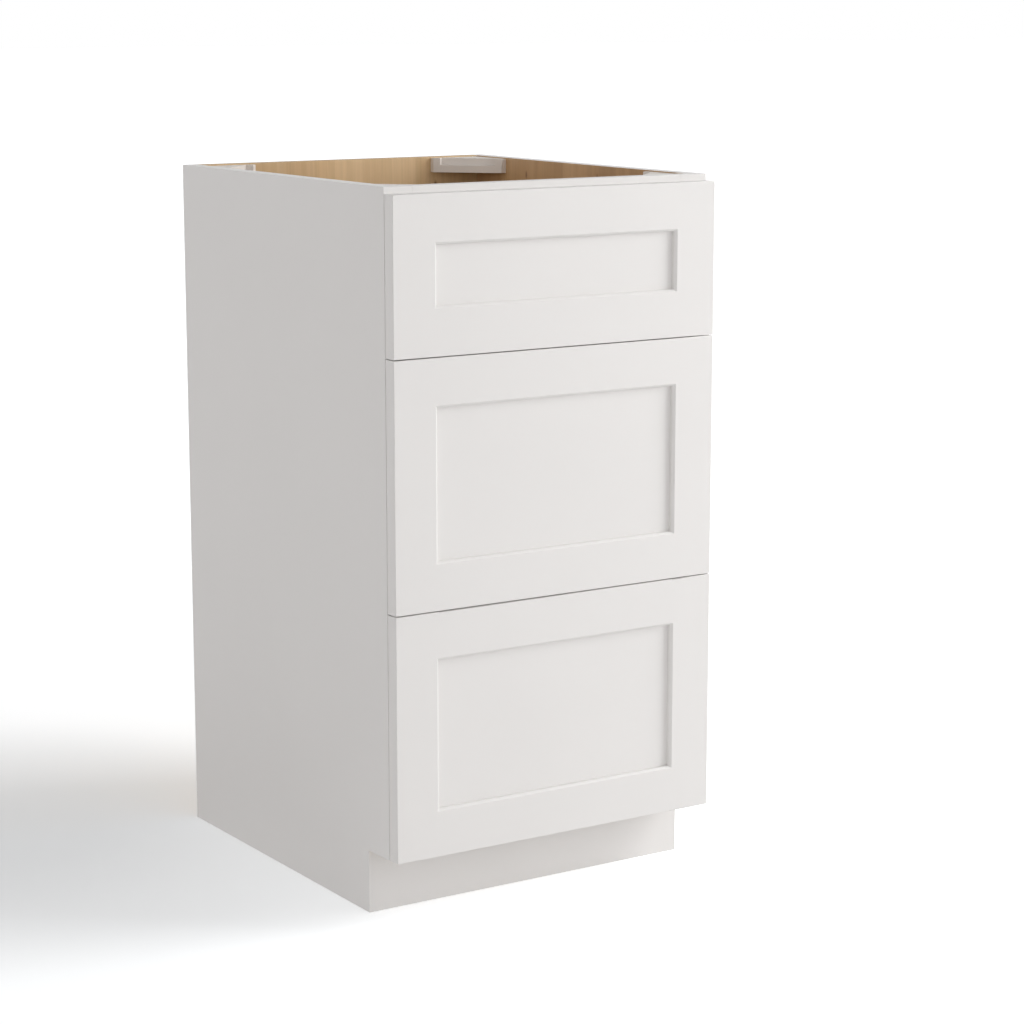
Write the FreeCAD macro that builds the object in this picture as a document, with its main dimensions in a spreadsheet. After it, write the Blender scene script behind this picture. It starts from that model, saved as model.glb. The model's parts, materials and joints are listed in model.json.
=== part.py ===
import FreeCAD
import Part
import os
import re
import Sketcher

# Three-drawer base cabinet with a face frame, framed drawer fronts with sunk panels, dovetailed
# drawer boxes and concealed full-extension runners.  Millimetres.  X runs across the cabinet,
# Y from front to back and Z up; the origin is on the floor, at the centre of the outline.

DIMENSIONS = [
    ("cabinet_width", 457.2),
    ("cabinet_height", 876.3),
    ("cabinet_depth", 533.4),
    ("toe_height", 78.6),
    ("toe_depth", 48.5),
    ("side_thickness", 19.05),
    ("sheet_thickness", 12.7),
    ("back_thickness", 4.76),
    ("dado_depth", 6.35),
    ("nailer_height", 88.9),
    ("frame_thickness", 19.05),
    ("frame_width", 38.1),
    ("front_thickness", 19.05),
    ("front_width", 456.2),
    ("front_bottom", 79.0),
    ("lower_front_height", 299.4),
    ("top_front_height", 188.1),
    ("front_gap", 1.2),
    ("front_edge_radius", 0.8),
    ("member_width", 58.7),
    ("panel_recess", 7.5),
    ("recess_chamfer", 2.8),
    ("panel_thickness", 6.35),
    ("groove_depth", 10.0),
    ("panel_play", 0.5),
    ("bumper_gap", 0.25),
    ("bumper_thickness", 0.15),
    ("bumper_radius", 4.0),
    ("bumper_inset", 13.0),
    ("box_width", 371.0),
    ("box_length", 457.2),
    ("box_thickness", 15.9),
    ("box_bottom_thickness", 6.35),
    ("box_lift", 9.5),
    ("lower_box_height", 203.2),
    ("top_box_height", 101.6),
    ("bottom_recess", 12.7),
    ("tail_pitch", 33.0),
    ("tail_share", 0.7),
    ("tail_slope", 0.14),
    ("notch_width", 35.0),
    ("steel", 1.5),
    ("rail_length", 457.2),
    ("rail_setback", 3.0),
    ("rail_half_width", 11.0),
    ("rail_drop", 5.0),
    ("rail_leg_height", 4.2),
    ("rail_wall_rise", 18.0),
    ("rail_screw_rise", 11.0),
    ("middle_half_width", 8.5),
    ("middle_length", 400.0),
    ("middle_drop", 2.5),
    ("middle_rise", 9.7),
    ("carrier_half_width", 12.0),
    ("carrier_length", 430.0),
    ("carrier_leg_rise", 2.7),
    ("runner_play", 1.0),
    ("runner_start_play", 1.5),
    ("clip_length", 50.0),
    ("clip_width", 26.0),
    ("clip_plate", 3.0),
    ("clip_body_width", 15.6),
    ("clip_body_length", 35.0),
    ("clip_body_height", 10.0),
    ("clip_lever_width", 7.8),
    ("clip_lever_length", 22.0),
    ("clip_lever_height", 6.0),
    ("socket_length", 34.0),
    ("socket_wall", 3.0),
    ("socket_drop", 8.0),
    ("socket_rise", 22.0),
    ("socket_grip", 8.0),
    ("socket_screw_rise", 1.0),
    ("socket_screw_pitch", 13.0),
    ("brace_leg", 74.0),
    ("brace_end", 7.0),
    ("brace_height", 19.0),
    ("brace_drop", 1.5),
    ("brace_wall", 3.0),
    ("brace_step_depth", 10.0),
    ("brace_step_height", 9.0),
    ("brace_step_start", 0.10),
    ("brace_worktop_hole", 24.0),
    ("brace_side_hole", 50.0),
    ("worktop_hole_radius", 2.6),
    ("side_hole_radius", 2.4),
    ("shank_radius", 2.0),
    ("shank_length", 14.0),
    ("head_radius", 4.0),
    ("head_thickness", 2.2),
]

doc = FreeCAD.newDocument("BaseCabinet")
sheet = doc.addObject("Spreadsheet::Sheet", "Dimensions")
for row, (alias, number) in enumerate(DIMENSIONS, start=1):
    sheet.set(f"A{row}", alias)
    sheet.set(f"B{row}", str(number))
    sheet.setAlias(f"B{row}", alias)
doc.recompute()

ALIASES = {alias for alias, _ in DIMENSIONS}
pieces = []


def bound(text):
    """The expression with every dimension's alias pointed at the sheet."""
    return re.sub(r"[a-z_]{3,}", lambda m: f"Dimensions.{m[0]}" if m[0] in ALIASES else m[0], text)


def value(text):
    """The number that an expression gives now."""
    return float(sheet.evalExpression(bound(text)))


def place(thing, corner):
    """Bind the three coordinates of a piece's placement to expressions."""
    for axis, text in zip("xyz", corner):
        thing.setExpression(f"Placement.Base.{axis}", bound(text))


def box(name, size, corner):
    """A box with its sizes along X, Y and Z and its lowest corner bound to the sheet."""
    solid = doc.addObject("Part::Box", name)
    for side, text in zip(("Length", "Width", "Height"), size):
        solid.setExpression(side, bound(text))
    place(solid, corner)
    return solid


def cylinder(name, radius, length, rotation, base):
    """A cylinder whose axis is the Z axis turned by the rotation, with its base at a point."""
    solid = doc.addObject("Part::Cylinder", name)
    solid.setExpression("Radius", bound(radius))
    solid.setExpression("Height", bound(length))
    solid.Placement = FreeCAD.Placement(FreeCAD.Vector(), rotation)
    place(solid, base)
    return solid


def cut(name, base, tools):
    """The base with every tool taken away."""
    for number, tool in enumerate(tools, start=1):
        result = doc.addObject("Part::Cut", f"{name}_cut_{number}")
        result.Base = base
        result.Tool = tool
        base = result
    return base


def fuse(name, solids):
    """One solid out of several that touch."""
    result = doc.addObject("Part::MultiFuse", f"{name}_fuse")
    result.Shapes = solids
    result.Refine = True
    return result


def group(name, solids):
    """Separate solids that share a node."""
    result = doc.addObject("Part::Compound", f"{name}_group")
    result.Links = solids
    return result


def eased(name, solid, picks):
    """Round the long edges that lie on the named extremes, such as ("Ymin", "Xmax")."""
    doc.recompute()
    limits = solid.Shape.BoundBox
    planes = {"Xmin": (0, limits.XMin), "Xmax": (0, limits.XMax), "Ymin": (1, limits.YMin),
              "Ymax": (1, limits.YMax), "Zmin": (2, limits.ZMin), "Zmax": (2, limits.ZMax)}
    chosen = []
    for number, edge in enumerate(solid.Shape.Edges, start=1):
        for pair in picks:
            sides = [planes[side] for side in pair]
            if all(abs(end.Point[axis] - at) < 1e-6 for end in edge.Vertexes for axis, at in sides):
                chosen.append(number)
    radius = value("front_edge_radius")
    result = doc.addObject("Part::Fillet", f"{name}_eased")
    result.Base = solid
    result.Edges = [(number, radius, radius) for number in chosen]
    return result


def piece(label, solid):
    """Give a finished sub-part the name of its node."""
    solid.Label = label
    pieces.append(solid)
    return solid


def mirrored(side, near, far_size):
    """Lowest X of something between |x| = near and near + far_size, on one side of the middle."""
    return near if side > 0 else f"-({near}) - ({far_size})"


# Planes and lines of the cabinet that many pieces share.
FACE_Y = "(-cabinet_depth / 2)"
FRONT_BACK_Y = "(-cabinet_depth / 2 + front_thickness)"
FRAME_Y = "(-cabinet_depth / 2 + front_thickness + bumper_gap)"
FRAME_BACK_Y = "(-cabinet_depth / 2 + front_thickness + bumper_gap + frame_thickness)"
BACK_Y = "(cabinet_depth / 2)"
PANEL_Y = "(cabinet_depth / 2 - back_thickness)"
NAILER_Y = "(cabinet_depth / 2 - back_thickness - sheet_thickness)"
INNER_X = "(cabinet_width / 2 - side_thickness)"
OPENING_X = "(cabinet_width / 2 - frame_width)"
INNER_WIDTH = "(cabinet_width - 2 * side_thickness)"
LOWER_GAP_Z = "(front_bottom + lower_front_height + front_gap / 2)"
UPPER_GAP_Z = "(front_bottom + 2 * lower_front_height + 1.5 * front_gap)"
SIDES = (("left", -1), ("right", 1))

# Each drawer: its name, the underside and height of its front, the underside of its opening and
# the height of its box.
DRAWERS = [
    ("bottom", "front_bottom", "lower_front_height",
     "(toe_height + frame_width)", "lower_box_height"),
    ("middle", "(front_bottom + lower_front_height + front_gap)", "lower_front_height",
     f"({LOWER_GAP_Z} + frame_width / 2)", "lower_box_height"),
    ("top", "(front_bottom + 2 * (lower_front_height + front_gap))", "top_front_height",
     f"({UPPER_GAP_Z} + frame_width / 2)", "top_box_height"),
]

# ---- Carcass -------------------------------------------------------------------------------


def polygon_sketch(body, name, plane, points, lift="0"):
    """A closed outline on one of the body's origin planes, every corner bound to the sheet.

    A coordinate written "0" is held by putting the corner on the sketch's axis.
    """
    sketch = body.newObject("Sketcher::SketchObject", name)
    origin_planes = [plane_ for plane_ in body.Origin.OriginFeatures if plane_.Role == plane]
    sketch.AttachmentSupport = [(origin_planes[0], "")]
    sketch.MapMode = "FlatFace"
    sketch.setExpression("AttachmentOffset.Base.z", bound(lift))
    corners = [FreeCAD.Vector(value(x), value(y), 0) for x, y in points]
    for start, end in zip(corners, corners[1:] + corners[:1]):
        sketch.addGeometry(Part.LineSegment(start, end), False)
    count = len(points)
    for line in range(count):
        sketch.addConstraint(Sketcher.Constraint("Coincident", line, 2, (line + 1) % count, 1))
    for line, (corner, point) in enumerate(zip(corners, points)):
        for kind, axis, at, text in (("DistanceX", -2, corner.x, point[0]),
                                     ("DistanceY", -1, corner.y, point[1])):
            if text == "0":
                sketch.addConstraint(Sketcher.Constraint("PointOnObject", line, 1, axis))
                continue
            number = sketch.addConstraint(Sketcher.Constraint(kind, -1, 1, line, 1, at))
            sketch.setExpression(f"Constraints[{number}]", bound(text))
    return sketch


def circle_sketch(body, name, plane, centre, radius):
    """A circle on one of the body's origin planes, its centre and radius bound to the sheet."""
    sketch = body.newObject("Sketcher::SketchObject", name)
    origin_planes = [plane_ for plane_ in body.Origin.OriginFeatures if plane_.Role == plane]
    sketch.AttachmentSupport = [(origin_planes[0], "")]
    sketch.MapMode = "FlatFace"
    middle = FreeCAD.Vector(value(centre[0]), value(centre[1]), 0)
    up = FreeCAD.Vector(0, 0, 1)
    sketch.addGeometry(Part.Circle(middle, up, value(radius)), False)
    rules = (("DistanceX", (-1, 1, 0, 3), middle.x, centre[0]),
             ("DistanceY", (-1, 1, 0, 3), middle.y, centre[1]),
             ("Radius", (0,), value(radius), radius))
    for kind, ends, number, text in rules:
        rule = sketch.addConstraint(Sketcher.Constraint(kind, *ends, number))
        sketch.setExpression(f"Constraints[{rule}]", bound(text))
    return sketch


def pocket(body, name, sketch, length, midplane=False):
    """Cut a sketch into the body, upwards from its plane or evenly to both sides of it."""
    before = body.Shape.Volume
    feature = body.newObject("PartDesign::Pocket", name)
    feature.Profile = sketch
    feature.setExpression("Length", bound(length))
    feature.Midplane = midplane
    feature.Reversed = not midplane
    doc.recompute()
    if not body.Shape.Volume < before:
        raise RuntimeError(f"{body.Name}.{name} cuts nothing")
    return feature


def side_panel(name, side):
    """Plywood side: an outline with the toe notch, a rabbet for the back, a dado for the floor."""
    body = doc.addObject("PartDesign::Body", f"{name}_side_panel")
    notch_y = f"({FRAME_Y} + toe_depth)"
    outline = [(notch_y, "0"), (BACK_Y, "0"), (BACK_Y, "cabinet_height"),
               (FRAME_BACK_Y, "cabinet_height"), (FRAME_BACK_Y, "toe_height"),
               (notch_y, "toe_height")]
    profile = polygon_sketch(body, f"{name}_side_outline", "YZ_Plane", outline)
    pad = body.newObject("PartDesign::Pad", f"{name}_side_pad")
    pad.Profile = profile
    pad.setExpression("Length", bound("side_thickness"))
    doc.recompute()
    # Both pockets start on the inner face: at the pad's far side on the left, at x = 0 on the right.
    inner = "side_thickness - dado_depth" if side < 0 else "0"
    rabbet = [(PANEL_Y, "0"), (BACK_Y, "0"), (BACK_Y, "cabinet_height"),
              (PANEL_Y, "cabinet_height")]
    floor_low = "toe_height + frame_width - sheet_thickness"
    floor_top = "toe_height + frame_width"
    dado = [(FRAME_BACK_Y, floor_low), (PANEL_Y, floor_low), (PANEL_Y, floor_top),
            (FRAME_BACK_Y, floor_top)]
    for cut_name, points in (("rabbet", rabbet), ("dado", dado)):
        sketch = polygon_sketch(body, f"{name}_side_{cut_name}", "YZ_Plane", points, inner)
        pocket(body, f"{name}_side_{cut_name}_cut", sketch, "dado_depth")
    place(body, ("-cabinet_width / 2" if side < 0 else INNER_X, "0", "0"))
    return piece(f"{name}_side_panel", body)


for side_name, direction in SIDES:
    side_panel(side_name, direction)

piece("bottom_panel", box("bottom_board",
      (f"{INNER_WIDTH} + 2 * dado_depth", f"{PANEL_Y} - {FRAME_BACK_Y}", "sheet_thickness"),
      (f"-{INNER_X} - dado_depth", FRAME_BACK_Y, "toe_height + frame_width - sheet_thickness")))
piece("back_panel", box("back_board",
      (f"{INNER_WIDTH} + 2 * dado_depth", "back_thickness", "cabinet_height"),
      (f"-{INNER_X} - dado_depth", PANEL_Y, "0")))
piece("hanging_rail", box("hanging_board",
      (INNER_WIDTH, "sheet_thickness", "nailer_height"),
      (f"-{INNER_X}", NAILER_Y, "cabinet_height - nailer_height")))
piece("toe_kick_board", box("toe_board",
      (INNER_WIDTH, "sheet_thickness", "toe_height + frame_width - sheet_thickness"),
      (f"-{INNER_X}", f"{FRAME_Y} + toe_depth", "0")))

# Face frame: two stiles the full height above the toe space, and four rails between them.
for side_name, direction in SIDES:
    piece(f"face_frame_{side_name}_stile", box(f"{side_name}_frame_stile",
          ("frame_width", "frame_thickness", "cabinet_height - toe_height"),
          (mirrored(direction, OPENING_X, "frame_width"), FRAME_Y, "toe_height")))
FRAME_RAILS = [
    ("face_frame_bottom_rail", "toe_height"),
    ("face_frame_lower_middle_rail", f"{LOWER_GAP_Z} - frame_width / 2"),
    ("face_frame_upper_middle_rail", f"{UPPER_GAP_Z} - frame_width / 2"),
    ("face_frame_top_rail", "cabinet_height - frame_width"),
]
for rail_name, rail_bottom in FRAME_RAILS:
    piece(rail_name, box(f"{rail_name}_board",
          (f"2 * {OPENING_X}", "frame_thickness", "frame_width"),
          (f"-{OPENING_X}", FRAME_Y, rail_bottom)))

# ---- Corner braces and their screws -----------------------------------------------------------

BRACE_SPAN = "(brace_leg + brace_end)"
BRACE_Z = "(cabinet_height - brace_drop - brace_height)"
CORNERS = [
    ("front_left", -1, FRAME_BACK_Y, 0.0),
    ("front_right", 1, FRAME_BACK_Y, 90.0),
    ("back_right", 1, NAILER_Y, 180.0),
    ("back_left", -1, NAILER_Y, 270.0),
]
UP = FreeCAD.Vector(0, 0, 1)


def inset_corner(inset):
    """Reach of the brace's hollow along a wall, for a long face set back by the inset."""
    return f"({BRACE_SPAN} - {inset} * sqrt(2) - brace_wall)"


def corner_brace(name):
    """Moulded triangular brace: a top plate over a hollow, with a step in its long face."""
    body = doc.addObject("PartDesign::Body", f"{name}_corner_brace")
    outline = [("0", "0"), ("brace_leg", "0"), ("brace_leg", "brace_end"),
               ("brace_end", "brace_leg"), ("0", "brace_leg")]
    profile = polygon_sketch(body, f"{name}_outline", "XY_Plane", outline)
    pad = body.newObject("PartDesign::Pad", f"{name}_pad")
    pad.Profile = profile
    pad.setExpression("Length", bound("brace_height"))
    doc.recompute()

    leg = "(brace_leg - brace_wall)"
    short = f"{BRACE_SPAN} - brace_wall * sqrt(2) - {leg}"
    low = [("brace_wall", "brace_wall"), (leg, "brace_wall"), (leg, short), (short, leg),
           ("brace_wall", leg)]
    far = inset_corner("(brace_step_depth + brace_wall)")
    high = [("brace_wall", "brace_wall"), (far, "brace_wall"), ("brace_wall", far)]
    pocket(body, f"{name}_low_hollow", polygon_sketch(body, f"{name}_low", "XY_Plane", low),
           "brace_height - brace_step_height - brace_wall")
    pocket(body, f"{name}_high_hollow", polygon_sketch(body, f"{name}_high", "XY_Plane", high),
           "brace_height - brace_wall")

    # The step runs between two shares of the long face and is cut square to it.
    run = "(brace_leg - brace_end)"
    near = f"(brace_end + {run} * brace_step_start)"
    away = f"(brace_leg - {run} * brace_step_start)"
    back = "(brace_step_depth / sqrt(2))"
    step = [(f"{away} + brace_wall", f"{near} + brace_wall"),
            (f"{near} + brace_wall", f"{away} + brace_wall"),
            (f"{near} - {back}", f"{away} - {back}"),
            (f"{away} - {back}", f"{near} - {back}")]
    sketch = polygon_sketch(body, f"{name}_step", "XY_Plane", step,
                            "brace_height - brace_step_height")
    pocket(body, f"{name}_step_cut", sketch, "brace_step_height + brace_wall")

    hole = circle_sketch(body, f"{name}_worktop_hole", "XY_Plane",
                         ("brace_worktop_hole", "brace_worktop_hole"), "worktop_hole_radius")
    pocket(body, f"{name}_worktop_cut", hole, "brace_height + brace_wall")
    for plane in ("XZ_Plane", "YZ_Plane"):
        hole = circle_sketch(body, f"{name}_{plane[:2]}_hole", plane,
                             ("brace_side_hole", "brace_height / 2"), "side_hole_radius")
        pocket(body, f"{name}_{plane[:2]}_cut", hole, "3 * brace_wall", midplane=True)
    return body


def screw(name, placement):
    """Pan-head screw: the underside of its head at the placement, its shank along +Z from there."""
    upright = FreeCAD.Rotation()
    head = cylinder(f"{name}_head", "head_radius", "head_thickness", upright,
                    ("0", "0", "-head_thickness"))
    shank = cylinder(f"{name}_shank", "shank_radius", "shank_length", upright, ("0", "0", "0"))
    result = fuse(name, [head, shank])
    result.Placement = placement
    return result


def screw_line(start, towards):
    """Placement of a screw that starts at a point and is driven along a direction."""
    return FreeCAD.Placement(start, FreeCAD.Rotation(UP, towards))


brace_screws = []
for corner_name, direction, corner_y, turn in CORNERS:
    brace = corner_brace(corner_name)
    brace.Placement.Rotation = FreeCAD.Rotation(UP, turn)
    place(brace, (INNER_X if direction > 0 else f"-{INNER_X}", corner_y, BRACE_Z))
    piece(f"{corner_name}_corner_brace", brace)
    doc.recompute()
    along = value("brace_side_hole")
    wall = value("brace_wall")
    height = value("brace_height / 2")
    for number, (start, towards) in enumerate((
            (FreeCAD.Vector(along, wall, height), FreeCAD.Vector(0, -1, 0)),
            (FreeCAD.Vector(wall, along, height), FreeCAD.Vector(-1, 0, 0)))):
        line = brace.Placement.multiply(screw_line(start, towards))
        brace_screws.append(screw(f"{corner_name}_screw_{number}", line))
piece("corner_brace_screws", group("corner_brace_screws", brace_screws))

# ---- Runners: fixed rails, sockets, middle members and carriers --------------------------------

# |x| of a runner's middle line: a play inside the drawer side's inner face.
RUNNER_X = "(box_width / 2 - box_thickness - runner_play - carrier_half_width)"
RAIL_Y = f"({FRAME_Y} + rail_setback)"
INSIDE_Y = f"({FRONT_BACK_Y} + box_thickness)"
MIDDLE_Y = f"({INSIDE_Y} + runner_start_play)"


def box_bottom(opening):
    """Height of a drawer box's lower edge above the floor."""
    return f"({opening} + box_lift)"


def fixed_rail(name, side, low):
    """Cabinet rail: a channel for the middle member, and a wing out to the face frame's stile."""
    floor = f"{low} - rail_drop"
    inner = f"({RUNNER_X} - rail_half_width)"
    outer_leg = f"({RUNNER_X} + rail_half_width - steel)"
    plates = [
        ("floor", inner, f"{OPENING_X} - {inner}", "steel"),
        ("inner_leg", inner, "steel", "rail_leg_height"),
        ("outer_leg", outer_leg, "steel", "rail_leg_height"),
        ("wall", f"({OPENING_X} - steel)", "steel", "rail_drop + rail_wall_rise"),
    ]
    return fuse(name, [box(f"{name}_{part}", (width, "rail_length", height),
                           (mirrored(side, near, width), RAIL_Y, floor))
                       for part, near, width, height in plates])


def middle_member(name, side, low):
    """Sliding middle member: a channel that is open downwards, between rail and carrier."""
    near = f"({RUNNER_X} - middle_half_width)"
    floor = f"{low} - middle_drop"
    full = "middle_drop + middle_rise"
    outer = box(f"{name}_outer", ("2 * middle_half_width", "middle_length", full),
                (mirrored(side, near, "2 * middle_half_width"), MIDDLE_Y, floor))
    hollow_width = "2 * (middle_half_width - steel)"
    hollow = box(f"{name}_hollow",
                 (hollow_width, "middle_length + 2 * steel", f"{full} - steel"),
                 (mirrored(side, f"({near} + steel)", hollow_width), f"{MIDDLE_Y} - steel", floor))
    return cut(name, outer, [hollow])


def carrier(name, side, low):
    """Drawer member: a hat over the middle member, under the drawer's bottom."""
    near = f"({RUNNER_X} - carrier_half_width)"
    floor = f"{low} + carrier_leg_rise"
    full = "bottom_recess - carrier_leg_rise"
    outer = box(f"{name}_outer", ("2 * carrier_half_width", "carrier_length", full),
                (mirrored(side, near, "2 * carrier_half_width"), MIDDLE_Y, floor))
    hollow_width = "2 * (carrier_half_width - steel)"
    hollow = box(f"{name}_hollow",
                 (hollow_width, "carrier_length + 2 * steel", f"{full} - steel"),
                 (mirrored(side, f"({near} + steel)", hollow_width), f"{MIDDLE_Y} - steel", floor))
    return cut(name, outer, [hollow])


def rear_socket(name, side, low):
    """Plastic socket on the side panel that holds a rail's rear end."""
    rail_end = f"({RAIL_Y} + rail_length)"
    near = f"({RUNNER_X} - rail_half_width - socket_wall)"
    arm = f"({INNER_X} - {near})"
    floor = f"{low} - socket_drop"
    start = f"({rail_end} - socket_grip)"
    back_wall = box(f"{name}_back", (arm, "socket_wall", "socket_drop + socket_rise"),
                    (mirrored(side, near, arm), rail_end, floor))
    # A shelf under the rail's end carries its load.
    shelf = box(f"{name}_shelf", (arm, "socket_length", "socket_drop - rail_drop"),
                (mirrored(side, near, arm), start, floor))
    flange = box(f"{name}_flange",
                 ("socket_wall", "socket_length", "socket_drop + socket_rise"),
                 (mirrored(side, f"({INNER_X} - socket_wall)", "socket_wall"), start, floor))
    rib = box(f"{name}_rib",
              ("socket_wall", "socket_length - socket_grip", "socket_drop + socket_rise / 2"),
              (mirrored(side, near, "socket_wall"), rail_end, floor))
    return fuse(name, [back_wall, shelf, flange, rib])


def locking_clip(name, side, low):
    """Plastic clip under the front corner of a drawer's bottom that grips the carrier."""
    near = f"({RUNNER_X} - carrier_half_width - runner_play - clip_width)"
    top = f"({low} + bottom_recess)"
    plate = box(f"{name}_plate", ("clip_width", "clip_length", "clip_plate"),
                (mirrored(side, near, "clip_width"), INSIDE_Y, f"{top} - clip_plate"))
    body = box(f"{name}_body", ("clip_body_width", "clip_body_length", "clip_body_height"),
               (mirrored(side, f"({near} + clip_width - clip_body_width)", "clip_body_width"),
                INSIDE_Y, f"{top} - clip_body_height"))
    lever = box(f"{name}_lever", ("clip_lever_width", "clip_lever_length", "clip_lever_height"),
                (mirrored(side, near, "clip_lever_width"), f"{INSIDE_Y} + clip_plate",
                 f"{top} - clip_lever_height"))
    return fuse(name, [plate, body, lever])


all_rails = []
all_sockets = []
rail_screws = []
for drawer, front_low, front_height, opening, box_height in DRAWERS:
    low = box_bottom(opening)
    members = []
    for side_name, direction in SIDES:
        name = f"{drawer}_{side_name}"
        all_rails.append(fixed_rail(f"{name}_rail", direction, low))
        all_sockets.append(rear_socket(f"{name}_socket", direction, low))
        members.append(middle_member(f"{name}_middle", direction, low))
        # One screw fixes the rail's wall to the stile, two fix the socket to the side panel.
        across = FreeCAD.Vector(direction, 0, 0)
        wall_x = direction * value(f"{OPENING_X} - steel")
        start = FreeCAD.Vector(wall_x, value(f"{FRAME_Y} + frame_thickness / 2"),
                               value(f"{low} + rail_screw_rise"))
        rail_screws.append(screw(f"{name}_rail_screw", screw_line(start, across)))
        flange_x = direction * value(f"{INNER_X} - socket_wall")
        flange_y = value(f"{RAIL_Y} + rail_length + socket_length / 2")
        for number in range(2):
            screw_z = value(f"{low} + socket_screw_rise") + number * value("socket_screw_pitch")
            start = FreeCAD.Vector(flange_x, flange_y, screw_z)
            rail_screws.append(screw(f"{name}_socket_screw_{number}", screw_line(start, across)))
    piece(f"{drawer}_runner_middle_members", group(f"{drawer}_middle_members", members))
piece("cabinet_runner_rails", group("cabinet_runner_rails", all_rails))
piece("runner_rear_sockets", group("runner_rear_sockets", all_sockets))
piece("runner_screws", group("runner_screws", rail_screws))

# ---- Drawer fronts -------------------------------------------------------------------------------


def drawer_front(drawer, low, height):
    """Framed front: stiles, rails with tongues, a chamfered recess and a panel held in grooves."""
    inner_half = "(front_width / 2 - member_width)"
    groove_y = f"({FACE_Y} + panel_recess)"
    groove_size = ("groove_depth", "panel_thickness", height)
    high = f"({low} + {height})"
    recess_low = f"({low} + member_width)"
    recess_high = f"({high} - member_width)"

    # The recess's four arrises are planed off together, so that they mitre in its corners.
    chamfer = doc.addObject("Part::Wedge", f"{drawer}_recess_chamfer")
    for side, text in (("Xmin", f"-{inner_half} - 2 * recess_chamfer"),
                       ("Xmax", f"{inner_half} + 2 * recess_chamfer"),
                       ("Zmin", f"{recess_low} - 2 * recess_chamfer"),
                       ("Zmax", f"{recess_high} + 2 * recess_chamfer"),
                       ("Ymin", f"{FACE_Y} - recess_chamfer"),
                       ("X2min", f"-{inner_half}"), ("X2max", inner_half),
                       ("Z2min", recess_low), ("Z2max", recess_high),
                       ("Ymax", f"{FACE_Y} + recess_chamfer")):
        chamfer.setExpression(side, bound(text))

    for side_name, direction in SIDES:
        name = f"{drawer}_{side_name}_stile"
        board = box(f"{name}_board", ("member_width", "front_thickness", height),
                    (mirrored(direction, inner_half, "member_width"), FACE_Y, low))
        outer = "Xmax" if direction > 0 else "Xmin"
        board = eased(name, board, (("Ymin", outer), ("Ymax", outer), ("Ymin", "Zmin"),
                                    ("Ymin", "Zmax")))
        groove = box(f"{name}_groove", groove_size,
                     (mirrored(direction, inner_half, "groove_depth"), groove_y, low))
        piece(f"{drawer}_front_{side_name}_stile", cut(name, board, [groove, chamfer]))

    rail_size = (f"2 * {inner_half}", "front_thickness", "member_width")
    tongue_size = (f"2 * ({inner_half} + groove_depth)", "panel_thickness", "member_width")
    for rail, rail_low, groove_low, arris in (
            ("top", f"{high} - member_width", f"{high} - member_width", "Zmax"),
            ("bottom", low, f"{low} + member_width - groove_depth", "Zmin")):
        name = f"{drawer}_{rail}_rail"
        board = box(f"{name}_board", rail_size, (f"-{inner_half}", FACE_Y, rail_low))
        board = eased(name, board, (("Ymin", arris),))
        tongue = box(f"{name}_tongue", tongue_size,
                     (f"-{inner_half} - groove_depth", groove_y, rail_low))
        groove = box(f"{name}_groove",
                     (f"2 * ({inner_half} + groove_depth)", "panel_thickness", "groove_depth"),
                     (f"-{inner_half} - groove_depth", groove_y, groove_low))
        piece(f"{drawer}_front_{rail}_rail",
              cut(name, fuse(name, [board, tongue]), [groove, chamfer]))

    lap = "(groove_depth - panel_play)"
    piece(f"{drawer}_front_panel", box(f"{drawer}_panel_board",
          (f"2 * ({inner_half} + {lap})", "panel_thickness",
           f"{height} - 2 * member_width + 2 * {lap}"),
          (f"-{inner_half} - {lap}", groove_y, f"{low} + member_width - {lap}")))


# ---- Drawer boxes --------------------------------------------------------------------------------


def block(x_range, y_range, z_range):
    """A plain block between the ends of three ranges."""
    size = [high - low for low, high in (x_range, y_range, z_range)]
    return Part.makeBox(*size, FreeCAD.Vector(x_range[0], y_range[0], z_range[0]))


def tails(x_low, y_base, y_tip, low, height):
    """Dovetails of one corner, as prisms across a side board.

    The height is shared among the nearest whole number of pitches. A tail is tail_share of its
    pitch wide at its tip and narrows by the slope towards its base.
    """
    count = round(height / value("tail_pitch"))
    pitch = height / count
    tip = pitch * value("tail_share") / 2
    base = tip - abs(y_tip - y_base) * value("tail_slope")
    across = FreeCAD.Vector(value("box_thickness"), 0, 0)
    prisms = []
    for number in range(count):
        middle = low + (number + 0.5) * pitch
        outline = [(y_base, middle - base), (y_tip, middle - tip), (y_tip, middle + tip),
                   (y_base, middle + base)]
        corners = [FreeCAD.Vector(x_low, y, z) for y, z in outline]
        prisms.append(Part.Face(Part.makePolygon(corners + corners[:1])).extrude(across))
    return prisms


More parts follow.
